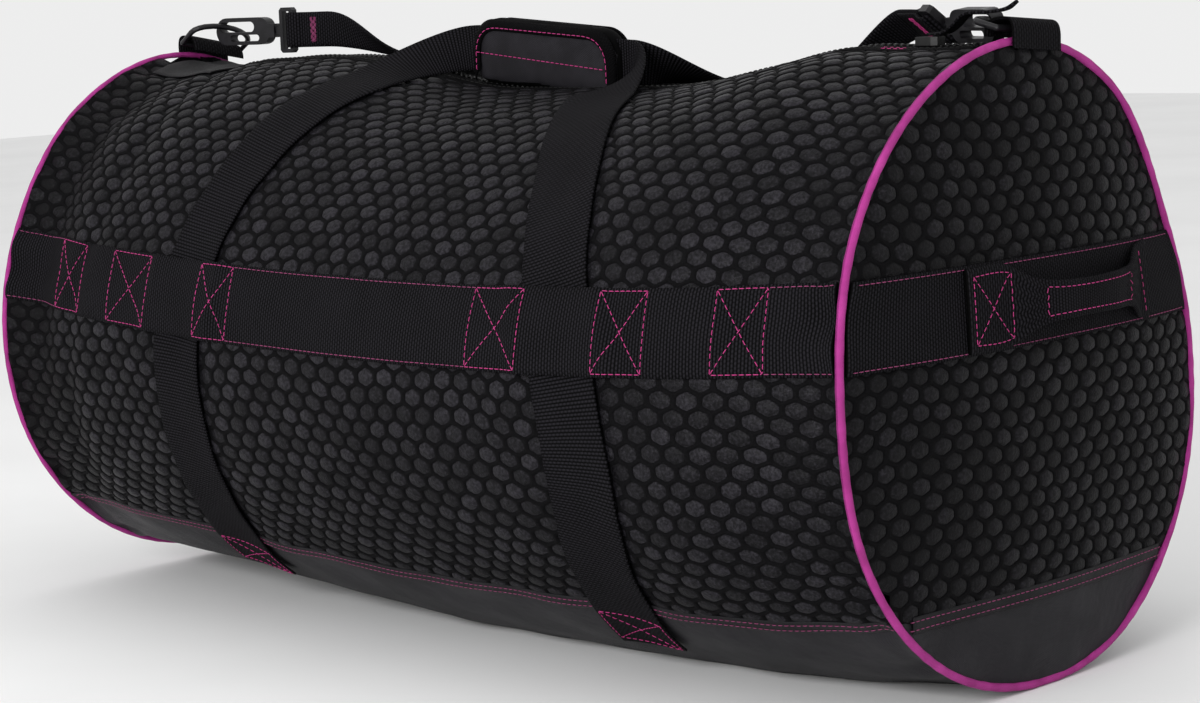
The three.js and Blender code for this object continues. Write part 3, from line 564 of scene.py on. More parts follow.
WEBBING = webbing("webbing", ink(0.0003), ink(0.0125))
WEBBING_EDGE = webbing("binding", ink(0.0006), ink(0.004), cord=1.6, pick=1.1)
TAB_WEBBING = webbing("tab webbing", ink(0.0006), ink(0.009), cord=3.0, pick=2.4)
COATED = coated("coated cloth", ink(0.009), ink(0.016))
HEM = coated("hem cloth", ink(0.004), ink(0.008))
CELLS = cell_cloth()
NET = net_cord()
THREAD = thread("pink thread", (0.26, 0.014, 0.10), (0.52, 0.05, 0.22))
DARK_THREAD = thread("dark thread", grey(0.002), grey(0.012))
# A darker pink thread; at the far bar tacks it stands for painted shade
DULL_THREAD = thread("dull pink thread", (0.12, 0.02, 0.06), (0.27, 0.05, 0.14))
CORD = piping_cloth()
PADDING = padding_cloth()
PLASTIC = plastic("plastic", ink(0.004), ink(0.010))
ZIP = webbing("zip tape", ink(0.0008), ink(0.005), cord=0.9, pick=0.9)
TEETH = plastic("zip teeth", grey(0.004), grey(0.010))


# The net panels
CELL = {"pitch": 17.1, "row": 10.2, "half": 7.1, "side": 2.7, "top": 5.75, "corner": 1.1, "gap": 1.2}
NET_HEIGHT, NET_RIDGE, DOME, PRESSED = 0.9, 1.15, 1.3, 0.25
NET_LIMIT = HALF - 0.6
NET_SPILL = 4
SEAM_LENGTH = DEGREE * BOTTOM_SEAM
EDGE_LENGTH = ZIP_COIL + ZIP_TAPE


def hexagon(half, side, top):
    return np.array([[half, -side], [half, side], [0, top], [-half, side], [-half, -side], [0, -top]])


def cell_pattern():
    """Points (u, v, height, cloth) and faces (corners, is cloth) of one cell about its middle."""
    outer_side = CELL["row"] - CELL["top"] - CELL["gap"]
    outer = hexagon(CELL["pitch"] / 2, outer_side, CELL["row"] - outer_side)
    inner = hexagon(CELL["half"], CELL["side"], CELL["top"])
    ring = np.array([inner[i] + unit(inner[(i + way) % 6] - inner[i]) * CELL["corner"]
                     for i in range(6) for way in (-1, 1)])
    levels = [(outer, NET_RIDGE, 0), (ring, NET_HEIGHT, 0), (ring * 0.96, 0.1, 1),
              (ring * 0.80, DOME * 0.75, 1), (np.zeros((1, 2)), DOME, 1)]
    points = np.concatenate([np.column_stack([p, np.full((len(p), 2), (h, c))]) for p, h, c in levels])
    faces = []
    for i in range(6):
        after = (i + 1) % 6
        faces += [((i, after, 6 + 2 * after, 7 + 2 * i), 0), ((i, 7 + 2 * i, 6 + 2 * i), 0)]
    for kind in (0, 1):
        faces += [(corners, kind) for corners in grid_faces(2, 12, 6 + 12 * kind, True)]
    return points, faces + [((30 + k, 30 + (k + 1) % 12, 42), 1) for k in range(12)]


def drawn(u, v):
    """The flat net pulled a little out of true, as the stuffing draws it."""
    return (u + 1.7 * np.sin(v / 23 + 1.7 * np.sin(u / 41)) + 0.7 * np.sin(v / 9.5 + u / 31),
            v + 1.5 * np.sin(u / 29 + 1.3 * np.sin(v / 37)) + 0.7 * np.sin(u / 11 - v / 27))


def net_panel(name, flipped, u_range, v_range, inside, place, pressed, painted_shade):
    """Net over cloth. place(u, v, height) lays a flat point on the bag, pressed(u, v) is 1 under
    webbing, and the last argument gives, by u, how much painted shade darkens the cells."""
    pattern, pattern_faces = cell_pattern()
    steps = [np.arange(math.floor(low / step) - 1, math.ceil(high / step) + 2)
             for (low, high), step in ((v_range, CELL["row"]), (u_range, CELL["pitch"]))]
    j, i = np.meshgrid(*steps, indexing="ij")
    u, v = (i + 0.5 * (j % 2)) * CELL["pitch"], j * CELL["row"]
    centres = stacked(u, v)[inside(u, v)]
    count, corners = len(centres), len(pattern)
    flat = centres[:, None] + pattern[:, :2]
    random = rng.random((count, 3))
    cloth = pattern[:, 3] > 0
    height = pattern[:, 2] * np.where(cloth, 0.65 + 0.6 * random[:, :1], 1)
    lean = (pattern[:, 0] * (random[:, 1:2] - 0.35) + pattern[:, 1] * (0.5 - random[:, 2:])) * 0.05
    height = np.where(cloth, height + lean * (height > 0.1), height)
    u, v = drawn(flat[..., 0], flat[..., 1])
    height = mix(height, np.minimum(height, PRESSED), pressed(u, v))
    points = place(u, v, height).reshape(-1, 3)
    faces = [tuple(start + c for c in face)
             for start in range(0, count * corners, corners) for face, _ in pattern_faces]
    kinds = [kind for _, kind in pattern_faces] * count
    # Each cell's value: a random tone, less the painted shade at its place along the panel
    tone = np.repeat(random[:, 0] - painted_shade(centres[:, 0]), corners)
    made = piece(f"{name}_net", points, faces, [NET, CELLS], f"{name}_mesh_panel", "net", None, kinds, tone)
    # Faces that the edge of the panel has flattened are dropped
    work = bmesh.new()
    work.from_mesh(made.data)
    bmesh.ops.dissolve_degenerate(work, dist=0.00002, edges=work.edges)
    work.to_mesh(made.data)
    work.free()
    if flipped:
        made.data.flip_normals()


def leg_press(x, degrees):
    """1 under the handle legs, fading just beside them."""
    press = 0
    for name in LEG_COLUMN:
        away = np.abs(x - leg_x(name, np.clip(np.abs(degrees), LEG_START, LEG_END)))
        shown = smooth((np.abs(degrees) - LEG_START) / 8)
        press = np.maximum(press, smooth((LEG_WIDTH / 2 + 5 - away) / 4) * shown)
    return press


def under_band(height, x):
    """1 under the band, fading just beside it."""
    return smooth((BAND_WIDTH / 2 + 4 - np.abs(height - band_height(x))) / 4)


def side_net(name, side):
    def laid(u, v):
        return np.clip(u, -NET_LIMIT, NET_LIMIT), side * np.clip(v, EDGE_LENGTH, SEAM_LENGTH) / DEGREE

    def pressed(u, v):
        x, degrees = laid(u, v)
        band = under_band(skin(x, degrees, folded=False)[..., 2], u) * (np.abs(degrees) > 45)
        edge = smooth((np.abs(u) - HALF + 6) / 4)
        return np.maximum(np.maximum(band, edge), leg_press(u, degrees))

    def inside(u, v):
        along = np.abs(u) < HALF + NET_SPILL
        return along & (v > EDGE_LENGTH - NET_SPILL) & (v < SEAM_LENGTH + NET_SPILL)

    # The last argument paints shade on the cells: strong towards the far rim, a little towards the near
    # rim, where the net lies in shadow
    net_panel(name, side > 0, (-HALF, HALF), (EDGE_LENGTH, SEAM_LENGTH), inside,
              lambda u, v, height: skin(*laid(u, v), height), pressed,
              lambda u: 0.8 * smooth((-285 - u) / 45) + 0.3 * smooth((u - 330) / 30))


def end_net(name, side):
    def outline(y, z):
        return end_radius(side, np.degrees(np.arctan2(-y, z)))

    def place(u, v, height):
        z = np.maximum(v, END_SEAM - AXIS)
        share = np.minimum(1, outline(u, z) / np.maximum(np.hypot(u, z), 1e-6))
        return end_face(side, u * share, AXIS + z * share, height)

    def inside(u, v):
        return (np.hypot(u, v) < outline(u, v) + 5) & (v > END_SEAM - 5 - AXIS)

    def pressed(u, v):
        edge = smooth((np.hypot(u, v) - outline(u, v) + 8) / 5)
        return np.maximum(under_band(v + AXIS, side * HALF), edge)

    reach = RIM * 1.05
    # The end panels' cells get an even painted shade, as the ends lie in shadow
    net_panel(name, side < 0, (-reach, reach), (-reach, reach), inside, place, pressed, lambda u: 0.7)


for name, side in SIDES.items():
    side_net(name, side)
for end in ENDS:
    end_net(f"{end.name}_end", end.side)


# The coated panels
def bottom_cloth():
    x, degrees = np.meshgrid(np.linspace(-NET_LIMIT, NET_LIMIT, 190),
                             np.linspace(BOTTOM_SEAM - 0.3, 360 - BOTTOM_SEAM + 0.3, 72), indexing="ij")
    ripple = 0.56 * np.sin(x / 17 + 2.2 * np.sin(degrees / 9)) * np.sin(degrees / 6 + x / 90)
    points = skin(x, degrees, ripple)
    points[..., 2] = np.maximum(points[..., 2], floor_height(x))
    piece("bottom_cloth", points.reshape(-1, 3), turned(grid_faces(*x.shape)), [COATED], "bottom_panel",
          "coated_cloth")


def end_base(name, side):
    """The coated cloth of an end, below its seam, as rows from the seam to the outline."""
    low = floor_height(HALF) + 1.2
    columns, rows = 90, 14
    turns = [angle_at_height(side * HALF, END_SEAM, face) for face in (1, -1)]
    angle = np.linspace(turns[0], 360 + turns[1], columns)
    radius = end_radius(side, angle)
    angle = np.radians(angle)
    t = np.linspace(0, 1, rows)[:, None]
    seam = np.linspace(*end_reach(side, END_SEAM), columns)
    y = mix(seam, -radius * np.sin(angle), t)
    z = mix(END_SEAM + 1.0, np.maximum(low, AXIS + radius * np.cos(angle)), t)
    points = end_face(side, y, z, 0.5 * np.sin(y / 13 + z / 9)).reshape(-1, 3)
    faces = grid_faces(rows, columns)
    piece(f"{name}_end_base", points, turned(faces) if side > 0 else faces, [COATED],
          f"{name}_end_lower_panel", "coated_cloth")


bottom_cloth()
for end in ENDS:
    end_base(end.name, end.side)


# Webbing over the skin
def spaced(columns, width):
    return np.linspace(-0.5, 0.5, columns) * width


def band_surface(side):
    """Top face of a side band: place along the bag, distance across the band, height."""
    @spread
    def surface(x, s, height):
        centre = angle_at_height(x, band_height(x), side)
        degrees = centre + s / np.radians(skin_radius(x, centre))
        nearest = np.minimum(*[np.abs(x - leg_x(name, degrees)) for name in LEG_COLUMN])
        lift = (LEG_LAY + LEG_WALL) * smooth((LEG_WIDTH / 2 + LIFT_REACH - nearest) / LIFT_FADE)
        return skin(x, degrees, BAND_LAY + BAND_WALL + lift + height)
    return surface


def end_band_surface(side):
    return crosswise(side, band_height(side * HALF), BAND_LAY + BAND_WALL)


def leg_surface(name, side):
    """Top face of a handle leg: degrees from the top, distance across the leg, height."""
    @spread
    def surface(angle, s, height):
        x = leg_x(name, angle)
        arc = np.radians(skin_radius(x, angle * side))
        slope = (leg_x(name, angle + 1) - leg_x(name, angle - 1)) / 2 / arc
        length = np.hypot(1, slope)
        degrees = angle - s * slope / length / arc
        return skin(x + s / length, degrees * side, LEG_LAY + LEG_WALL + height)
    return surface


def side_band(name, side):
    x = np.linspace(-HALF + 3.0, HALF - 3.0, 240)[:, None]
    sheet(name, band_surface(side), x, spaced(15, BAND_WIDTH), -BAND_WALL, BAND_WALL, WEBBING, name)


def end_band(name, side):
    s = spaced(13, BAND_WIDTH)
    front, back = end_reach(side, band_height(side * HALF) + s)
    y = mix(front + 2.2, back - 2.2, np.linspace(0, 1, 90)[:, None])
    sheet(name, end_band_surface(side), y, s, -BAND_WALL, BAND_WALL, WEBBING, name)


def heading(row, after):
    """Direction of a strip from the middle of a row to the middle of the row after it."""
    return unit(after[len(after) // 2] - row[len(row) // 2])


def bridge(from_row, from_way, to_row, to_way, count):
    """Rows of points that run smoothly from one row to another."""
    t = np.linspace(0, 1, count + 1)[1:-1, None, None]
    pull = np.linalg.norm(to_row - from_row, axis=1)[:, None]
    return curve(t, from_row, pull * from_way, to_row, pull * to_way)


WRAP_LOW, WRAP_HIGH = [np.array(corner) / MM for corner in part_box("handle_wrap")]
WRAP_MIDDLE = (WRAP_LOW + WRAP_HIGH) / 2
WRAP_SAG = 1.35      # how much further its lower half hangs
WRAP_CORNER = 20.0
GRIP_WIDTH = 30.0


def wrap_drop(x):
    """How much lower the wrap is at x than at its middle, as it tilts along the bag."""
    return 0.085 * (x - WRAP_MIDDLE[0])


def handle_strap(name, side):
    """Carry handle webbing of one side: up a leg, through the wrap and down the other leg."""
    s = spaced(13, LEG_WIDTH)
    angles = np.linspace(LEG_START, LEG_END, 60)[:, None]
    left = leg_surface("left", side)(angles, s, -LEG_WALL / 2)[::-1]
    right = leg_surface("right", side)(angles, s, -LEG_WALL / 2)[:, ::-1]
    y = -side * (LEG_WALL + 0.7) / 2
    z = WRAP_MIDDLE[2] - 3 - spaced(13, GRIP_WIDTH)
    ends = [stacked(x, y, z - wrap_drop(x)) for x in (WRAP_LOW[0] - 4, WRAP_HIGH[0] + 4)]
    inside = mix(ends[0], ends[1], np.linspace(0, 1, 8)[:, None, None])
    straight = np.array([1.0, 0, 0])
    up = bridge(left[-1], heading(left[-2], left[-1]), ends[0], straight, 22)
    down = bridge(ends[1], straight, right[0], heading(right[0], right[1]), 22)
    strip(name, np.concatenate([left, up, inside, down, right]), LEG_WALL, WEBBING, name)


for name, side in SIDES.items():
    side_band(f"{name}_band", side)
for end in ENDS:
    end_band(f"{end.name}_end_band", end.side)
for name, side in SIDES.items():
    handle_strap(f"{name}_handle_strap", side)


def tab_height(end, y):
    rim_x = end.side * HALF
    low, high = [top_height(rim_x, end.tab + s * TAB["width"]) for s in (-0.5, 0.5)]
    return top_height(rim_x, end.tab) + (high - low) * (y - end.tab) / TAB["width"]


def tab(end):
    """Webbing folded over the rim, which holds the ring."""
    wall, depth = TAB["wall"], TAB["depth"]
    top = TAB["height"] - wall / 2
    outside = PIPING + CLEAR + wall / 2
    profile = resampled(np.array([
        [outside, -TAB["hem"]], [outside, 0], [outside, top * 0.45], [outside - 1.2, top * 0.82],
        [outside - 4.5, top], [-depth * 0.45, top], [-depth * 0.8, top * 0.86],
        [-depth * 0.97, top * 0.5], [-depth, 1 + wall / 2],
    ]), 40)
    y = end.tab + spaced(13, TAB["width"])
    grid = stacked(end.side * (HALF + profile[:, :1]), y, tab_height(end, y) + profile[:, 1:])
    name = f"{end.name}_tab"
    strip(name, grid, wall, TAB_WEBBING, name, crossed=True)


def hook_frame(end):
    """Origin of a hook and directions of its eye: along it, up in its plane, and aside."""
    side, yaw = end.side, math.radians(end.yaw)
    tip = np.array([side * (HALF - RING["inset"] - RING["reach"]), end.tab,
                    tab_height(end, end.tab) + RING["lift"] + end.rise])
    way = np.array([-side * math.cos(yaw), math.sin(yaw), 0])
    level = unit(np.cross([0, 0, 1], way)) * side
    held, up = [np.array([0, 0, 1]) * math.cos(lean) + level * math.sin(lean)
                for lean in (math.radians(end.lean), math.radians(end.eye_lean))]
    return tip - way * HOOK_HOLD["along"] - held * HOOK_HOLD["up"], way, up, np.cross(way, up)


EYE_BAR = EYE["start"] + EYE["neck"] + EYE["length"] - EYE["bar"] / 2


def strap_fold(end):
    """Rows of the shoulder strap round the bar of an eye, from its sewn tail to its free run."""
    origin, way, up, aside = hook_frame(end)
    wide = EYE["thickness"] / 2 + CLEAR + STRAP_WALL / 2
    deep = EYE["bar"] / 2 + CLEAR + STRAP_WALL / 2
    close = (STRAP_WALL + CLEAR) / 2
    half = [(STRAP_FOLD, close), (STRAP_FOLD * 0.6, close), (STRAP_FOLD * 0.33, close),
            (deep * 2.4, wide * 0.8), (deep, wide * 1.1), (-deep * 0.55, wide * 1.1),
            (-deep * 1.15, wide * 0.7)]
    path = [(a, -b) for a, b in half] + [(-deep * 1.2, 0)] + half[::-1]
    rows = np.array([[origin + way * (EYE_BAR + a) + aside * b + up * c for c in spaced(9, STRAP_WIDTH)]
                     for a, b in path])
    return rows if rows[0, -1, 2] > rows[0, 0, 2] else rows[:, ::-1]


def shoulder_strap():
    share = np.linspace(STRAP_RUN[0, 0], STRAP_RUN[-1, 0], 60)
    angle = through(STRAP_RUN[:, 0], STRAP_RUN[:, 1], share)
    x = share[:, None] * HALF
    run = skin(x, angle + spaced(9, STRAP_WIDTH) / np.radians(skin_radius(x, angle)),
               LEG_LAY + LEG_WALL + 1 + STRAP_WALL / 2)
    far_rows, near_rows = strap_fold(FAR), strap_fold(NEAR)[::-1]
    down = bridge(far_rows[-1], hook_frame(FAR)[1], run[0], heading(run[0], run[1]), 20)
    up = bridge(run[-1], heading(run[-2], run[-1]), near_rows[0], -hook_frame(NEAR)[1], 20)
    grid = np.concatenate([resampled(far_rows, 60), down, run, up, resampled(near_rows, 60)])
    strip("shoulder_strap", grid, STRAP_WALL, WEBBING, "shoulder_strap")


@spread
def grab_surface(t, s, height):
    """Top face of the end grab handle: share of its length, distance across, height."""
    rows = through(GRAB[:, 0], GRAB[:, 1:], t)
    z = band_height(HALF) + s * rows[..., 0] * BAND_WIDTH / 2
    gathered = smooth((t - 0.19) / 0.05) * smooth((0.38 - t) / 0.08)
    gathered = gathered + smooth((t - 0.76) / 0.05) * smooth((0.95 - t) / 0.05)
    pucker = 1.5 * gathered * np.sin(7.5 * s + 9 * t) ** 2
    rise = BAND_LAY * 2 + BAND_WALL + np.maximum(0, rows[..., 1]) + pucker + GRAB_WALL + height
    return end_face(1, mix(GRAB_FROM, GRAB_TO, t), z, rise)


for end in ENDS:
    tab(end)
shoulder_strap()
sheet("near_end_handle", grab_surface, np.linspace(0, 1, 110)[:, None], np.linspace(-1, 1, 25),
      -GRAB_WALL, GRAB_WALL, WEBBING, "near_end_handle")


# Piping
def piping(name, side):
    """Covered cord round a rim, a little uneven where the cover puckers."""
    count, sides = 420, 12
    degrees = np.linspace(0, 360, count, endpoint=False)
    line = skin(side * HALF, degrees, folded=False)
    normal = np.array([1.0, 0, 0])
    out = unit(np.cross(unit(np.roll(line, -1, 0) - np.roll(line, 1, 0)), normal))
    turn = circle(sides)
    theta = np.radians(degrees)
    swell = 1 + 0.035 * np.sin(61 * theta + 3 * np.sin(7 * theta)) + 0.025 * np.sin(97 * theta)
    radius = (PIPING if side > 0 else PIPING * 0.8) * swell[:, None, None]
    ring = np.cos(turn)[:, None] * out[:, None] + np.sin(turn)[:, None] * normal
    points = line[:, None] + radius * ring
    points[..., 2] = np.maximum(points[..., 2], 0.05)
    points = points.reshape(-1, 3)
    faces = [tuple(c % len(points) for c in face) for face in grid_faces(count + 1, sides, closed=True)]
    lie = stacked(travelled(line)[:, None], turn * PIPING).reshape(-1, 2)
    piece(f"{name}_cord", points, outward(points, faces), [CORD], name, "piping", lie)


for end in ENDS:
    piping(f"{end.name}_piping", end.side)


# Hems
ALONG = np.linspace(-HALF + 3, HALF - 3, 200)[:, None]
SEAM_RISE, END_SEAM_RISE = 0.4, 0.5
for name, side in SIDES.items():
    sheet(f"{name}_seam_hem", lengthwise(side, BOTTOM_SEAM, SEAM_RISE), ALONG, 2.5 + spaced(7, 11.0),
          CLEAR, 0.9, HEM, None, "coated_cloth")
for end in ENDS:
    low, high = end_reach(end.side, END_SEAM - 7)
    sheet(f"{end.name}_end_hem", crosswise(end.side, END_SEAM, END_SEAM_RISE),
          np.linspace(low + 3, high - 3, 70)[:, None], -1.5 + spaced(7, 10.0), CLEAR, 0.9, HEM, None,
          "coated_cloth")

# Zip
TOP_END = HALF - PIPING - CLEAR - TAB["depth"] - CLEAR
TOP_ALONG = np.linspace(-TOP_END, TOP_END, 200)[:, None]
TAPE_SEAM = ZIP_COIL + ZIP_TAPE - 2
for name, side in SIDES.items():
    name = f"{name}_zip_tape"
    over = lengthwise(side, 0, 0)
    sheet(name, over, TOP_ALONG, np.linspace(ZIP_COIL * 0.5, ZIP_COIL + ZIP_TAPE - 3, 8), -0.2, 1.1, ZIP,
          name, "zip")
    sheet(f"{name}_hem", over, TOP_ALONG, TAPE_SEAM + spaced(7, 10.0), CLEAR, 1.2, WEBBING_EDGE)


def zip_teeth():
    """Two rows of coil teeth that mesh along the top."""
    pitch, radius, sides = 2.4, 0.85, 6
    k = np.arange(int(2 * TOP_END / pitch))
    side = np.where(k % 2, 1, -1)[:, None]
    centre = skin(-TOP_END + (k[:, None] + 0.5) * pitch, side * [-0.9, 1.3, 3.4] / DEGREE,
                  np.array([1.0, 1.25, 0.75]))
    turn = circle(sides)
    ring = stacked(np.cos(turn), 0, np.sin(turn)) * radius
    faces = []
    for start in k.tolist():
        base = start * 3 * sides
        tooth = grid_faces(3, sides, base, True)
        tooth += [tuple(range(base, base + 6))[::-1], tuple(range(base + 12, base + 18))]
        faces += tooth if start % 2 else turned(tooth)
    piece("zip_teeth", (centre[:, :, None] + ring).reshape(-1, 3), faces, [TEETH], "zip_coil", "zip")


def zip_patch():
    half, length, height = 42.0, 66.0, ZIP_PROUD + 1.0
    x = np.linspace(-TOP_END, length - TOP_END, 40)[:, None]
    sheet("far_zip_patch_cloth", lengthwise(1, 0, 0), x, spaced(40, half * 2), height, 1.2, HEM,
          "far_zip_patch", "coated_cloth", 0.6)


def zip_pull():
    """Webbing tongue that rises to a point from the slider over the ring and the tab."""
    start, base = 318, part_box("zip_pull")[0][2] / MM + 1
    rows = resampled(np.array([
        [0, 0, 0, 10], [12, -2, 1, 10], [21, -4, 5, 10], [31, -5, 11.8, 9], [46, -4, 12.4, 7],
        [56, -2, 14, 5], [62, 0, 18, 2],
    ], float), 40)
    grid = stacked(start + rows[:, :1], rows[:, 1:2] + spaced(7, rows[:, 3:]), base + rows[:, 2:3])
    strip("zip_pull_tongue", grid, 1.8, WEBBING, "zip_pull")


zip_teeth()
zip_patch()
zip_pull()

# Stitches. Each has four stations along it, with places, sizes and drops.
STITCH = {"length": 3.4, "gap": 0.9, "radius": 0.30, "sides": 5}
STATION = {"place": np.array([-0.5, -0.32, 0.32, 0.5]), "size": np.array([0.35, 1, 1, 0.35]),
           "drop": np.array([-0.35, 0.1, 0.1, -0.35])}
THREAD_LAY = 0.12


def read_off(x, places, rows):
    """The rows of points, read off between their places."""
    return stacked(*[np.interp(x, places, column) for column in rows.T])


def stitch_rows(name, surface, lines, slot="webbing", material=THREAD):
    """One mesh of sewn stitches; each line is a list of (a, b) corners on the surface."""
    sides = STITCH["sides"]
    turn = circle(sides)
    t = np.linspace(0, 1, 60)[:, None]
    points, lies = [], []
    for line in lines:
        line = np.asarray(line, float)
        dense = np.concatenate([mix(start, stop, t) for start, stop in zip(line, line[1:])])
        track, raised = [surface(*dense.T, height) for height in (THREAD_LAY, THREAD_LAY + 1)]
        keep = np.append(True, np.diff(travelled(track)) > 1e-6)
        track, raised = track[keep], raised[keep]
        travel = travelled(track)
        count = max(1, int(travel[-1] / (STITCH["length"] + STITCH["gap"])))
        middle = (np.arange(count)[:, None] + 0.5) * travel[-1] / count
        places = middle + STATION["place"] * STITCH["length"]
        centre, above = [read_off(places, travel, rows) for rows in (track, raised)]
        normal = unit(above - centre)
        aside = unit(np.cross(normal, unit(centre[:, -1:] - centre[:, :1])))
        drop = STATION["drop"] + rng.uniform(-0.05, 0.05, (count, 1))
        ring = aside[:, :, None] * np.cos(turn)[:, None] + normal[:, :, None] * np.sin(turn)[:, None] * 0.8
        centre = centre + normal * drop[..., None]
        points.append(centre[:, :, None] + ring * (STATION["size"] * STITCH["radius"])[:, None, None])
        lies.append(stacked(places[..., None], turn))
    points, lies = np.concatenate(points), np.concatenate(lies)
    faces = [(b, a, d, c) for k in range(len(points))
             for a, b, c, d in grid_faces(4, sides, k * 4 * sides, True)]
    piece(name, points.reshape(-1, 3), faces, [material], None, slot, lies.reshape(-1, 2))


def box_lines(a0, a1, b0, b1):
    """A stitched rectangle with its two diagonals."""
    return [[(a0, b0), (a1, b0), (a1, b1), (a0, b1), (a0, b0)], [(a0, b0), (a1, b1)], [(a0, b1), (a1, b0)]]


def row(a0, a1, b, count=12):
    """A line along a surface at one distance across it."""
    return [(a, b) for a in np.linspace(a0, a1, count)]


def fold_surface(end, face):
    """A face of the doubled strap beside an eye: distance from the bar, distance across, height."""
    origin, way, up, aside = hook_frame(end)
    out = (STRAP_WALL + CLEAR) / 2 + STRAP_WALL / 2

    @spread
    def surface(a, c, height):
        a, c, height = [v[..., None] for v in (a, c, height)]
        return origin + way * (EYE_BAR + a) + aside * face * (out + height) + up * c
    return surface


def grab_share(y):
    return (y - GRAB_FROM) / (GRAB_TO - GRAB_FROM)


BAND_EDGE = BAND_WIDTH / 2 - STITCH_INSET
for name, side in SIDES.items():
    name = f"{name}_band_stitches"
    boxes = [line for low, high in BAND_BOXES for line in box_lines(low, high, -BAND_EDGE, BAND_EDGE)]
    edges = [row(low, high, edge) for low, high in BAND_SPANS for edge in (-BAND_EDGE, BAND_EDGE)]
    stitch_rows(name, band_surface(side), boxes)
    stitch_rows(f"{name}_edges", band_surface(side), edges, material=DULL_THREAD)

for end in ENDS:
    side = end.side
    lines = []
    for edge in (-BAND_EDGE, BAND_EDGE):
        low, high = end_reach(side, band_height(side * HALF) + edge)
        lines.append(row(low + 6, high - 6, edge))
    stitch_rows(f"{end.name}_end_band_stitches", end_band_surface(side), lines, material=DULL_THREAD)

TACK = [(a, (-1) ** k * 9.5) for k, a in enumerate(np.linspace(19, 24, 13))]
# The far bar tacks take the darker thread as painted shade, the far end lying in shadow
for end, material in ((NEAR, THREAD), (FAR, DULL_THREAD)):
    for face, label in ((1, "upper"), (-1, "lower")):
        stitch_rows(f"{end.name}_{label}_bar_tack", fold_surface(end, face), [TACK], material=material)

lines = box_lines(grab_share(-71), grab_share(-38), -0.80, 0.80)
lines += [row(grab_share(-15), grab_share(72), s) for s in (-0.66, 0.66)]
lines += [[(grab_share(y), -0.66), (grab_share(y), 0.66)] for y in (-15, 72)]
lines += [[(grab_share(102), -0.84), (grab_share(96), 0.84)]]
stitch_rows("near_end_handle_stitches", grab_surface, lines)

LEG_EDGE = LEG_WIDTH / 2 - STITCH_INSET
for name in LEG_COLUMN:
    for face, side in SIDES.items():
        stitch_rows(f"{face}_{name}_leg_stitches", leg_surface(name, side),
                    box_lines(138.5, 149, -LEG_EDGE, LEG_EDGE))

HEM_TOP, TAPE_TOP, ZIP_TACK = 1.25, 1.55, (294.0, 312.0)
for name, side in SIDES.items():
    stitch_rows(f"{name}_seam_stitches", lengthwise(side, BOTTOM_SEAM, SEAM_RISE + HEM_TOP),
                [row(-HALF + 5, HALF - 5, s, 40) for s in (0.0, 5.0)], "coated_cloth", DULL_THREAD)
for end in ENDS:
    low, high = end_reach(end.side, END_SEAM - 4)
    stitch_rows(f"{end.name}_end_seam_stitches", crosswise(end.side, END_SEAM, END_SEAM_RISE + HEM_TOP),
                [row(low + 3, high - 3, s) for s in (-4.0, 1.0)], "coated_cloth", DULL_THREAD)
for name, side in SIDES.items():
    name, over = f"{name}_zip_stitches", lengthwise(side, 0, TAPE_TOP)
    stitch_rows(name, over, [row(-TOP_END + 3, TOP_END - 3, TAPE_SEAM, 40)], material=DARK_THREAD)
    stitch_rows(f"{name}_tack", over, [row(*ZIP_TACK, ZIP_COIL + ZIP_TAPE + s, 3) for s in (-3, 0)])


# The padded wrap
def wrap_form(count=60, sides=48):
    """Closed padded sleeve with rounded top corners, as a stack of rounded sections along X."""
    length, depth, height = WRAP_HIGH - WRAP_LOW
    half_y, half_z = depth / 2 * 0.92, height / 2 + 0.4
    t = -np.cos(np.linspace(0, np.pi, count))
    turn = circle(sides)
    y, z = [np.sign(way) * np.abs(way) ** 0.62 for way in (np.cos(turn), np.sin(turn))]
    from_end = (1 - np.abs(t)) * length / 2

    def cut(radius):
        return radius - np.sqrt(np.maximum(0, radius**2 - np.maximum(0, radius - from_end) ** 2))

    high = half_z - cut(WRAP_CORNER) * 0.92
    low = -half_z * WRAP_SAG + cut(5.0)
    close = np.maximum(1 - np.exp(-from_end / 4.0), 0.5)
    x = (WRAP_MIDDLE[0] + t * length / 2)[:, None]
    up = mix(low[:, None], high[:, None], (z + 1) / 2)
    points = stacked(x, WRAP_MIDDLE[1] + half_y * close[:, None] * y,
                     WRAP_MIDDLE[2] + up - wrap_drop(x)).reshape(-1, 3)
    faces = grid_faces(count, sides, closed=True)
    faces += [tuple(range(sides)), tuple(range((count - 1) * sides, count * sides))[::-1]]
    return points, outward(points, faces)


def modified(made, name, kind, **settings):
    modifier = made.modifiers.new(name, kind)
    for key, value in settings.items():
        setattr(modifier, key, value)
    return modifier


def puffed(made, pressure=4.0, reach=0.004):
    """Swells a padded piece as cloth, keeps each point within reach, and smooths it once."""
    modified(made, "even", "REMESH", mode="VOXEL", voxel_size=0.004)
    bpy.context.view_layer.objects.active = made
    bpy.ops.object.modifier_apply(modifier="even")
    start = np.empty(len(made.data.vertices) * 3)
    made.data.vertices.foreach_get("co", start)
    settings = modified(made, "cloth", "CLOTH").settings
    settings.effector_weights.gravity = 0
    settings.use_pressure = True
    settings.uniform_pressure_force = pressure
    settings.quality = 6
    settings.tension_stiffness = 25
    for step in range(1, 21):
        bpy.context.scene.frame_set(step)
    bpy.ops.object.modifier_apply(modifier="cloth")
    moved = np.empty_like(start)
    made.data.vertices.foreach_get("co", moved)
    shift = (moved - start).reshape(-1, 3)
    size = np.linalg.norm(shift, axis=1, keepdims=True)
    shift *= np.minimum(1, reach / np.maximum(size, 1e-9))
    made.data.vertices.foreach_set("co", start + shift.ravel())
    bpy.context.scene.frame_set(1)
    modified(made, "detail", "SUBSURF", levels=1, render_levels=1)
    bpy.ops.object.modifier_apply(modifier="detail")
    shade_smooth(made.data)


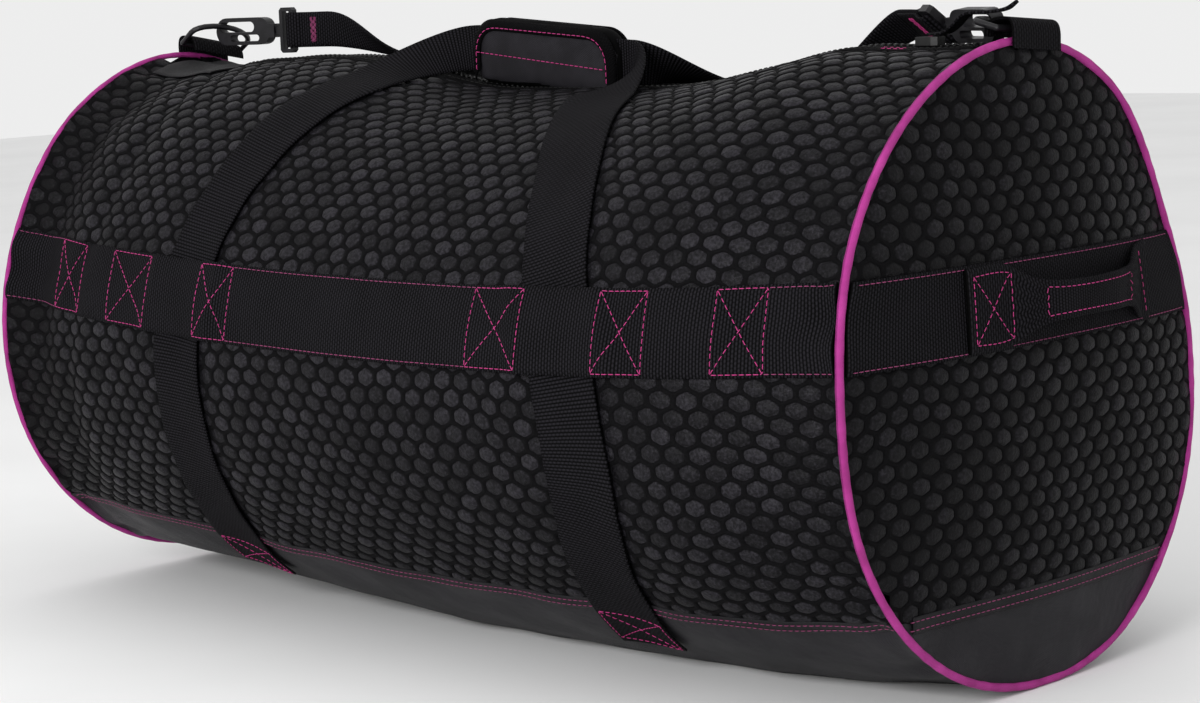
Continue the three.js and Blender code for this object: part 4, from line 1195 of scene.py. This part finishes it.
def wrap_outline(inset, y, count=90):
    """Line round the sides and the top of the wrap's face, in from its edge."""
    low, high = WRAP_LOW[[0, 2]] + inset, WRAP_HIGH[[0, 2]] - inset
    radius = WRAP_CORNER - inset * 0.6
    low[1] -= (WRAP_SAG - 1) * (high[1] - low[1]) / 2
    corners = [(high[0], low[1])]
    for middle, start in ((high[0] - radius, 0), (low[0] + radius, 90)):
        for turn in np.radians(np.linspace(start, start + 90, 14)):
            corners.append((middle + radius * math.cos(turn), high[1] - radius + radius * math.sin(turn)))
    corners = np.array(corners + [(low[0], low[1])])
    travel = travelled(corners)
    x, z = read_off(np.linspace(0, travel[-1], count), travel, corners).T
    return stacked(x, y, z - wrap_drop(x))


def face_line(line, side):
    """Surface along a line of points on a face of the wrap: share of the line, and height."""
    places = np.linspace(0, 1, len(line))

    @spread
    def surface(a, _, height):
        points = read_off(a, places, line)
        points[..., 1] -= side * height
        return points
    return surface


def wrap_pieces():
    points, faces = wrap_form()
    pad = piece("handle_wrap_pad", points, faces, [PADDING, WEBBING_EDGE], "handle_wrap", "padding")
    puffed(pad)
    for polygon in pad.data.polygons:
        polygon.material_index = 0 if abs(polygon.normal.y) > 0.72 else 1
    for name, side in SIDES.items():
        name, depth = f"handle_wrap_{name}", side * (WRAP_LOW[1] + 1.6)
        outer, inner = wrap_outline(0.6, depth + side * 2.6), wrap_outline(8.0, depth - side * 0.2)
        share = np.linspace(0, 1, 7)
        grid = mix(outer[:, None], inner[:, None], share[:, None])
        grid[..., 1] -= side * 1.5 * np.sin(share * np.pi)
        strip(f"{name}_binding", grid, 1.4, WEBBING_EDGE)
        middle = mix(outer, inner, 0.72)
        middle[:, 1] -= side * 2.2
        stitch_rows(f"{name}_stitches", face_line(middle, side), [row(0, 1, 0.0, 60)], "padding")
        quilting = np.array([[WRAP_LOW[0] + 6, depth - side * 2.2, WRAP_HIGH[2] - 18],
                             [WRAP_HIGH[0] - 8, depth - side * 2.2, WRAP_HIGH[2] - 31]])
        stitch_rows(f"{name}_quilting", face_line(quilting, side), [[(0, 0), (1, 0)]], "padding")


wrap_pieces()


# Fittings kept from the model
def fitting(node, material):
    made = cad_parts[node]
    made.data.materials.clear()
    made.data.materials.append(material)
    shade_smooth(made.data)
    return made


def moulded(node, material, width):
    """A fitting with its edges rounded as moulded plastic has them."""
    modified(fitting(node, material), "soft edges", "BEVEL", width=width * MM, segments=3,
             limit_method="ANGLE", angle_limit=math.radians(35))


for end in ("near", "far"):
    moulded(f"{end}_snap_hook", PLASTIC, 0.7)
    moulded(f"{end}_strap_eye", PLASTIC, 0.6)
    ring = fitting(f"{end}_ring", PLASTIC)
    modified(ring, "even", "REMESH", mode="VOXEL", voxel_size=0.5 * MM, use_smooth_shade=True)
    modified(ring, "round", "SMOOTH", iterations=4)
moulded("zip_slider", TEETH, 1.4)


# Floor, light and camera
def stage_floor():
    mesh = bpy.data.meshes.new("floor")
    size = 6.0
    corners = [(-size, -size, 0), (size, -size, 0), (size, size, 0), (-size, size, 0)]
    mesh.from_pydata(corners, [], [(0, 1, 2, 3)])
    s = Shader("floor", roughness=0.9, specular=0.2)
    mesh.materials.append(s.finish(s.colours(s.noise(3.0), (0.3, grey(0.80)), (0.7, grey(0.84)))))
    placed("floor", mesh)


def softbox(name, place, target, width, height, power):
    data = bpy.data.lights.new(name, "AREA")
    data.shape = "RECTANGLE"
    data.size, data.size_y = width, height
    data.energy = power
    light = placed(name, data)
    light.location = place
    light.rotation_euler = (Vector(target) - Vector(place)).to_track_quat("-Z", "Y").to_euler()


# The photograph's camera: turn, tilt and roll in degrees, focal length in pixels, place in mm
VIEW = {"turn": 43.7356, "tilt": 7.3356, "roll": 2.4174, "focal": 2979.77, "width": 1200,
        "place": (1382.35, -1403.12, 429.24)}


def photo_camera():
    turn, tilt, roll = [math.radians(VIEW[key]) for key in ("turn", "tilt", "roll")]
    data = bpy.data.cameras.new("camera")
    data.sensor_fit = "HORIZONTAL"
    data.sensor_width = 36.0
    data.lens = VIEW["focal"] / VIEW["width"] * data.sensor_width
    data.clip_end = 50
    camera = placed("camera", data)
    camera.matrix_world = (Matrix.Translation(Vector(VIEW["place"]) * MM) @ Matrix.Rotation(turn, 4, "Z")
                           @ Matrix.Rotation(math.pi / 2 - tilt, 4, "X") @ Matrix.Rotation(-roll, 4, "Z"))
    bpy.context.scene.camera = camera


stage_floor()
softbox("key", (0.7, -2.6, 1.1), (0, 0, 0.15), 1.4, 1.0, 60)
softbox("top", (-0.3, 0.2, 2.6), (0, 0, 0.2), 2.2, 1.6, 6)
softbox("end", (2.6, -0.1, 1.2), (0.3, 0, 0.2), 1.2, 1.2, 2)
world = bpy.data.worlds.new("studio")
world.use_nodes = True
background = world.node_tree.nodes["Background"].inputs
background["Color"].default_value = (1, 1, 1, 1)
background["Strength"].default_value = 0.85
bpy.context.scene.world = world
bpy.context.scene.view_settings.view_transform = "Standard"
photo_camera()
